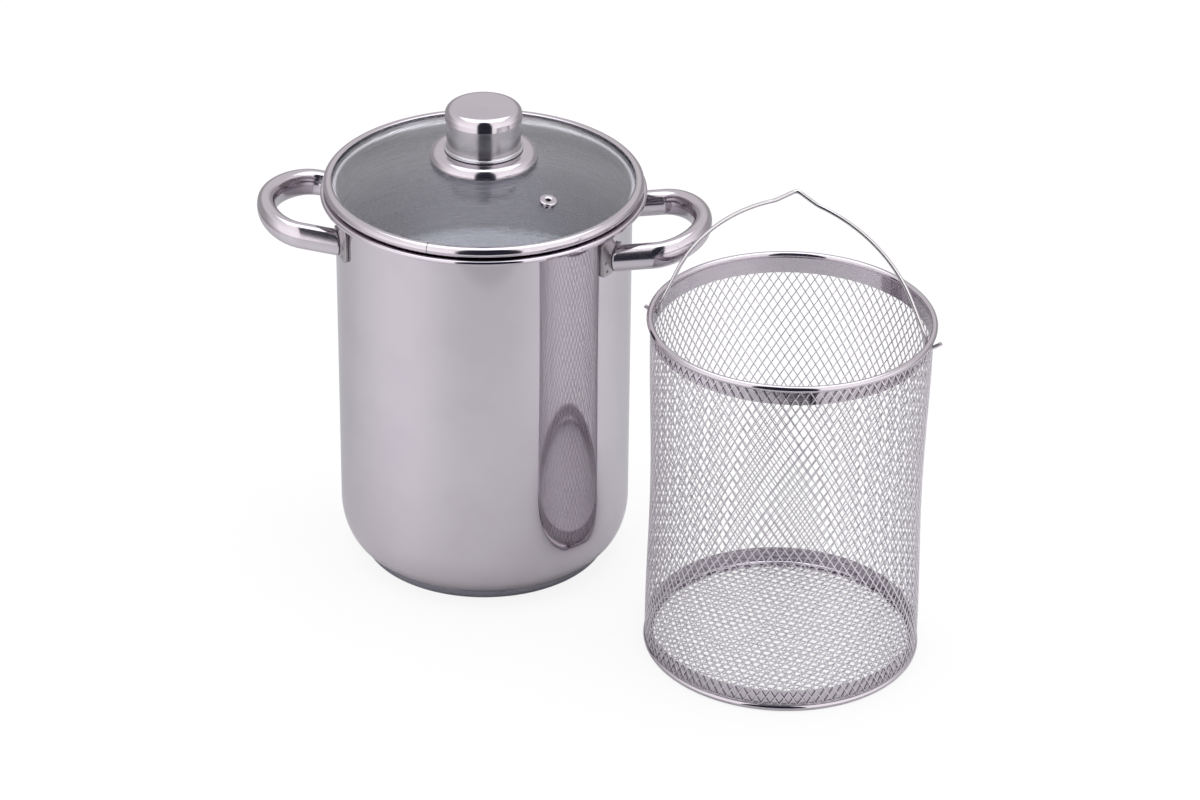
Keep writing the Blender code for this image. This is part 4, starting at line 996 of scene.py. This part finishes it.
def makeWorld(v):
    world = bpy.data.worlds.new("studioTent")
    bpy.context.scene.world = world
    tree = clearedTree(world)
    coords = addNode(tree, "ShaderNodeTexCoord")
    share, up = aroundNodes(tree, coords.outputs["Generated"], v)[2:]
    height = mathNode(tree, "MULTIPLY", mathNode(tree, "ARCSINE", up), 180 / math.pi)
    side = tintBetween(tree, stepMask(tree, height, *v["upper"]), levelRound(tree, share, v["tentLow"]),
                       levelRound(tree, share, v["tentHigh"]))
    level = tintBetween(tree, stepMask(tree, height, *v["lower"]), levelRound(tree, share, v["tentBelow"]),
                        side)
    tent = addNode(tree, "ShaderNodeMix", {"Factor": 1.0, "A": level, "B": (*v["tint"], 1)},
                   data_type="RGBA", blend_type="MULTIPLY")
    light = addNode(tree, "ShaderNodeLightPath")
    seen = tintBetween(tree, light.outputs["Is Camera Ray"], tent.outputs["Result"], (1, 1, 1))
    background = addNode(tree, "ShaderNodeBackground", {"Color": seen, "Strength": 1.0})
    addNode(tree, "ShaderNodeOutputWorld", {"Surface": background.outputs[0]})


def makeCard(v):
    # a dark card in front of the object gives the polished steel its dark stripe; the camera doesn't see it
    away, half = v["cardAway"], v["cardAway"] * math.tan(math.radians(v["slitHalf"]))
    low, high = v["cardFoot"], v["cardAway"] * math.tan(math.radians(v["slitTop"]))
    place = (turnAbout("Z", v["slitTurn"] + 90) @ Matrix.Translation((0, -away, (low + high) / 2))
             @ turnAbout("X", 90) @ Matrix.Diagonal((half, (high - low) / 2, 1, 1)))
    card, tree = flatSheet("darkCard", 1.0, place)
    card.visible_camera = False
    cloth = addNode(tree, "ShaderNodeEmission", {"Color": (*v["dark"], 1), "Strength": 1.0})
    addNode(tree, "ShaderNodeOutputMaterial", {"Surface": cloth.outputs[0]})


def makeLamp(v):
    lamp = bpy.data.lights.new("overheadPanel", "AREA")
    lamp.shape = "RECTANGLE"
    lamp.size, lamp.size_y = v["lampSize"]
    lamp.energy = v["lampLevel"] * math.pi * lamp.size * lamp.size_y
    lamp.color = v["lampColour"]
    panel = addObject("overheadPanel", lamp)
    panel.location = v["lampPlace"]
    panel.rotation_euler = (0, 0, math.radians(v["lampTurn"]))
    panel.visible_camera = False


makeFloor(studio)
makeWorld(studio)
makeCard(studio)
makeLamp(studio)

cameraValues = {"place": (0.2546, -1.96219, 1.20470), "turn": 5.547, "tilt": 60.54, "roll": 0.70,
                "lens": 123.34}


def makeCamera(v):
    data = bpy.data.cameras.new("productCamera")
    data.lens = v["lens"]
    data.sensor_width = 36.0
    camera = addObject("productCamera", data)
    camera.matrix_world = (Matrix.Translation(v["place"]) @ turnAbout("Z", v["turn"])
                           @ turnAbout("X", v["tilt"]) @ turnAbout("Z", v["roll"]))
    bpy.context.scene.camera = camera


makeCamera(cameraValues)
bpy.context.scene.view_settings.view_transform = "Standard"
print("studio and camera made")
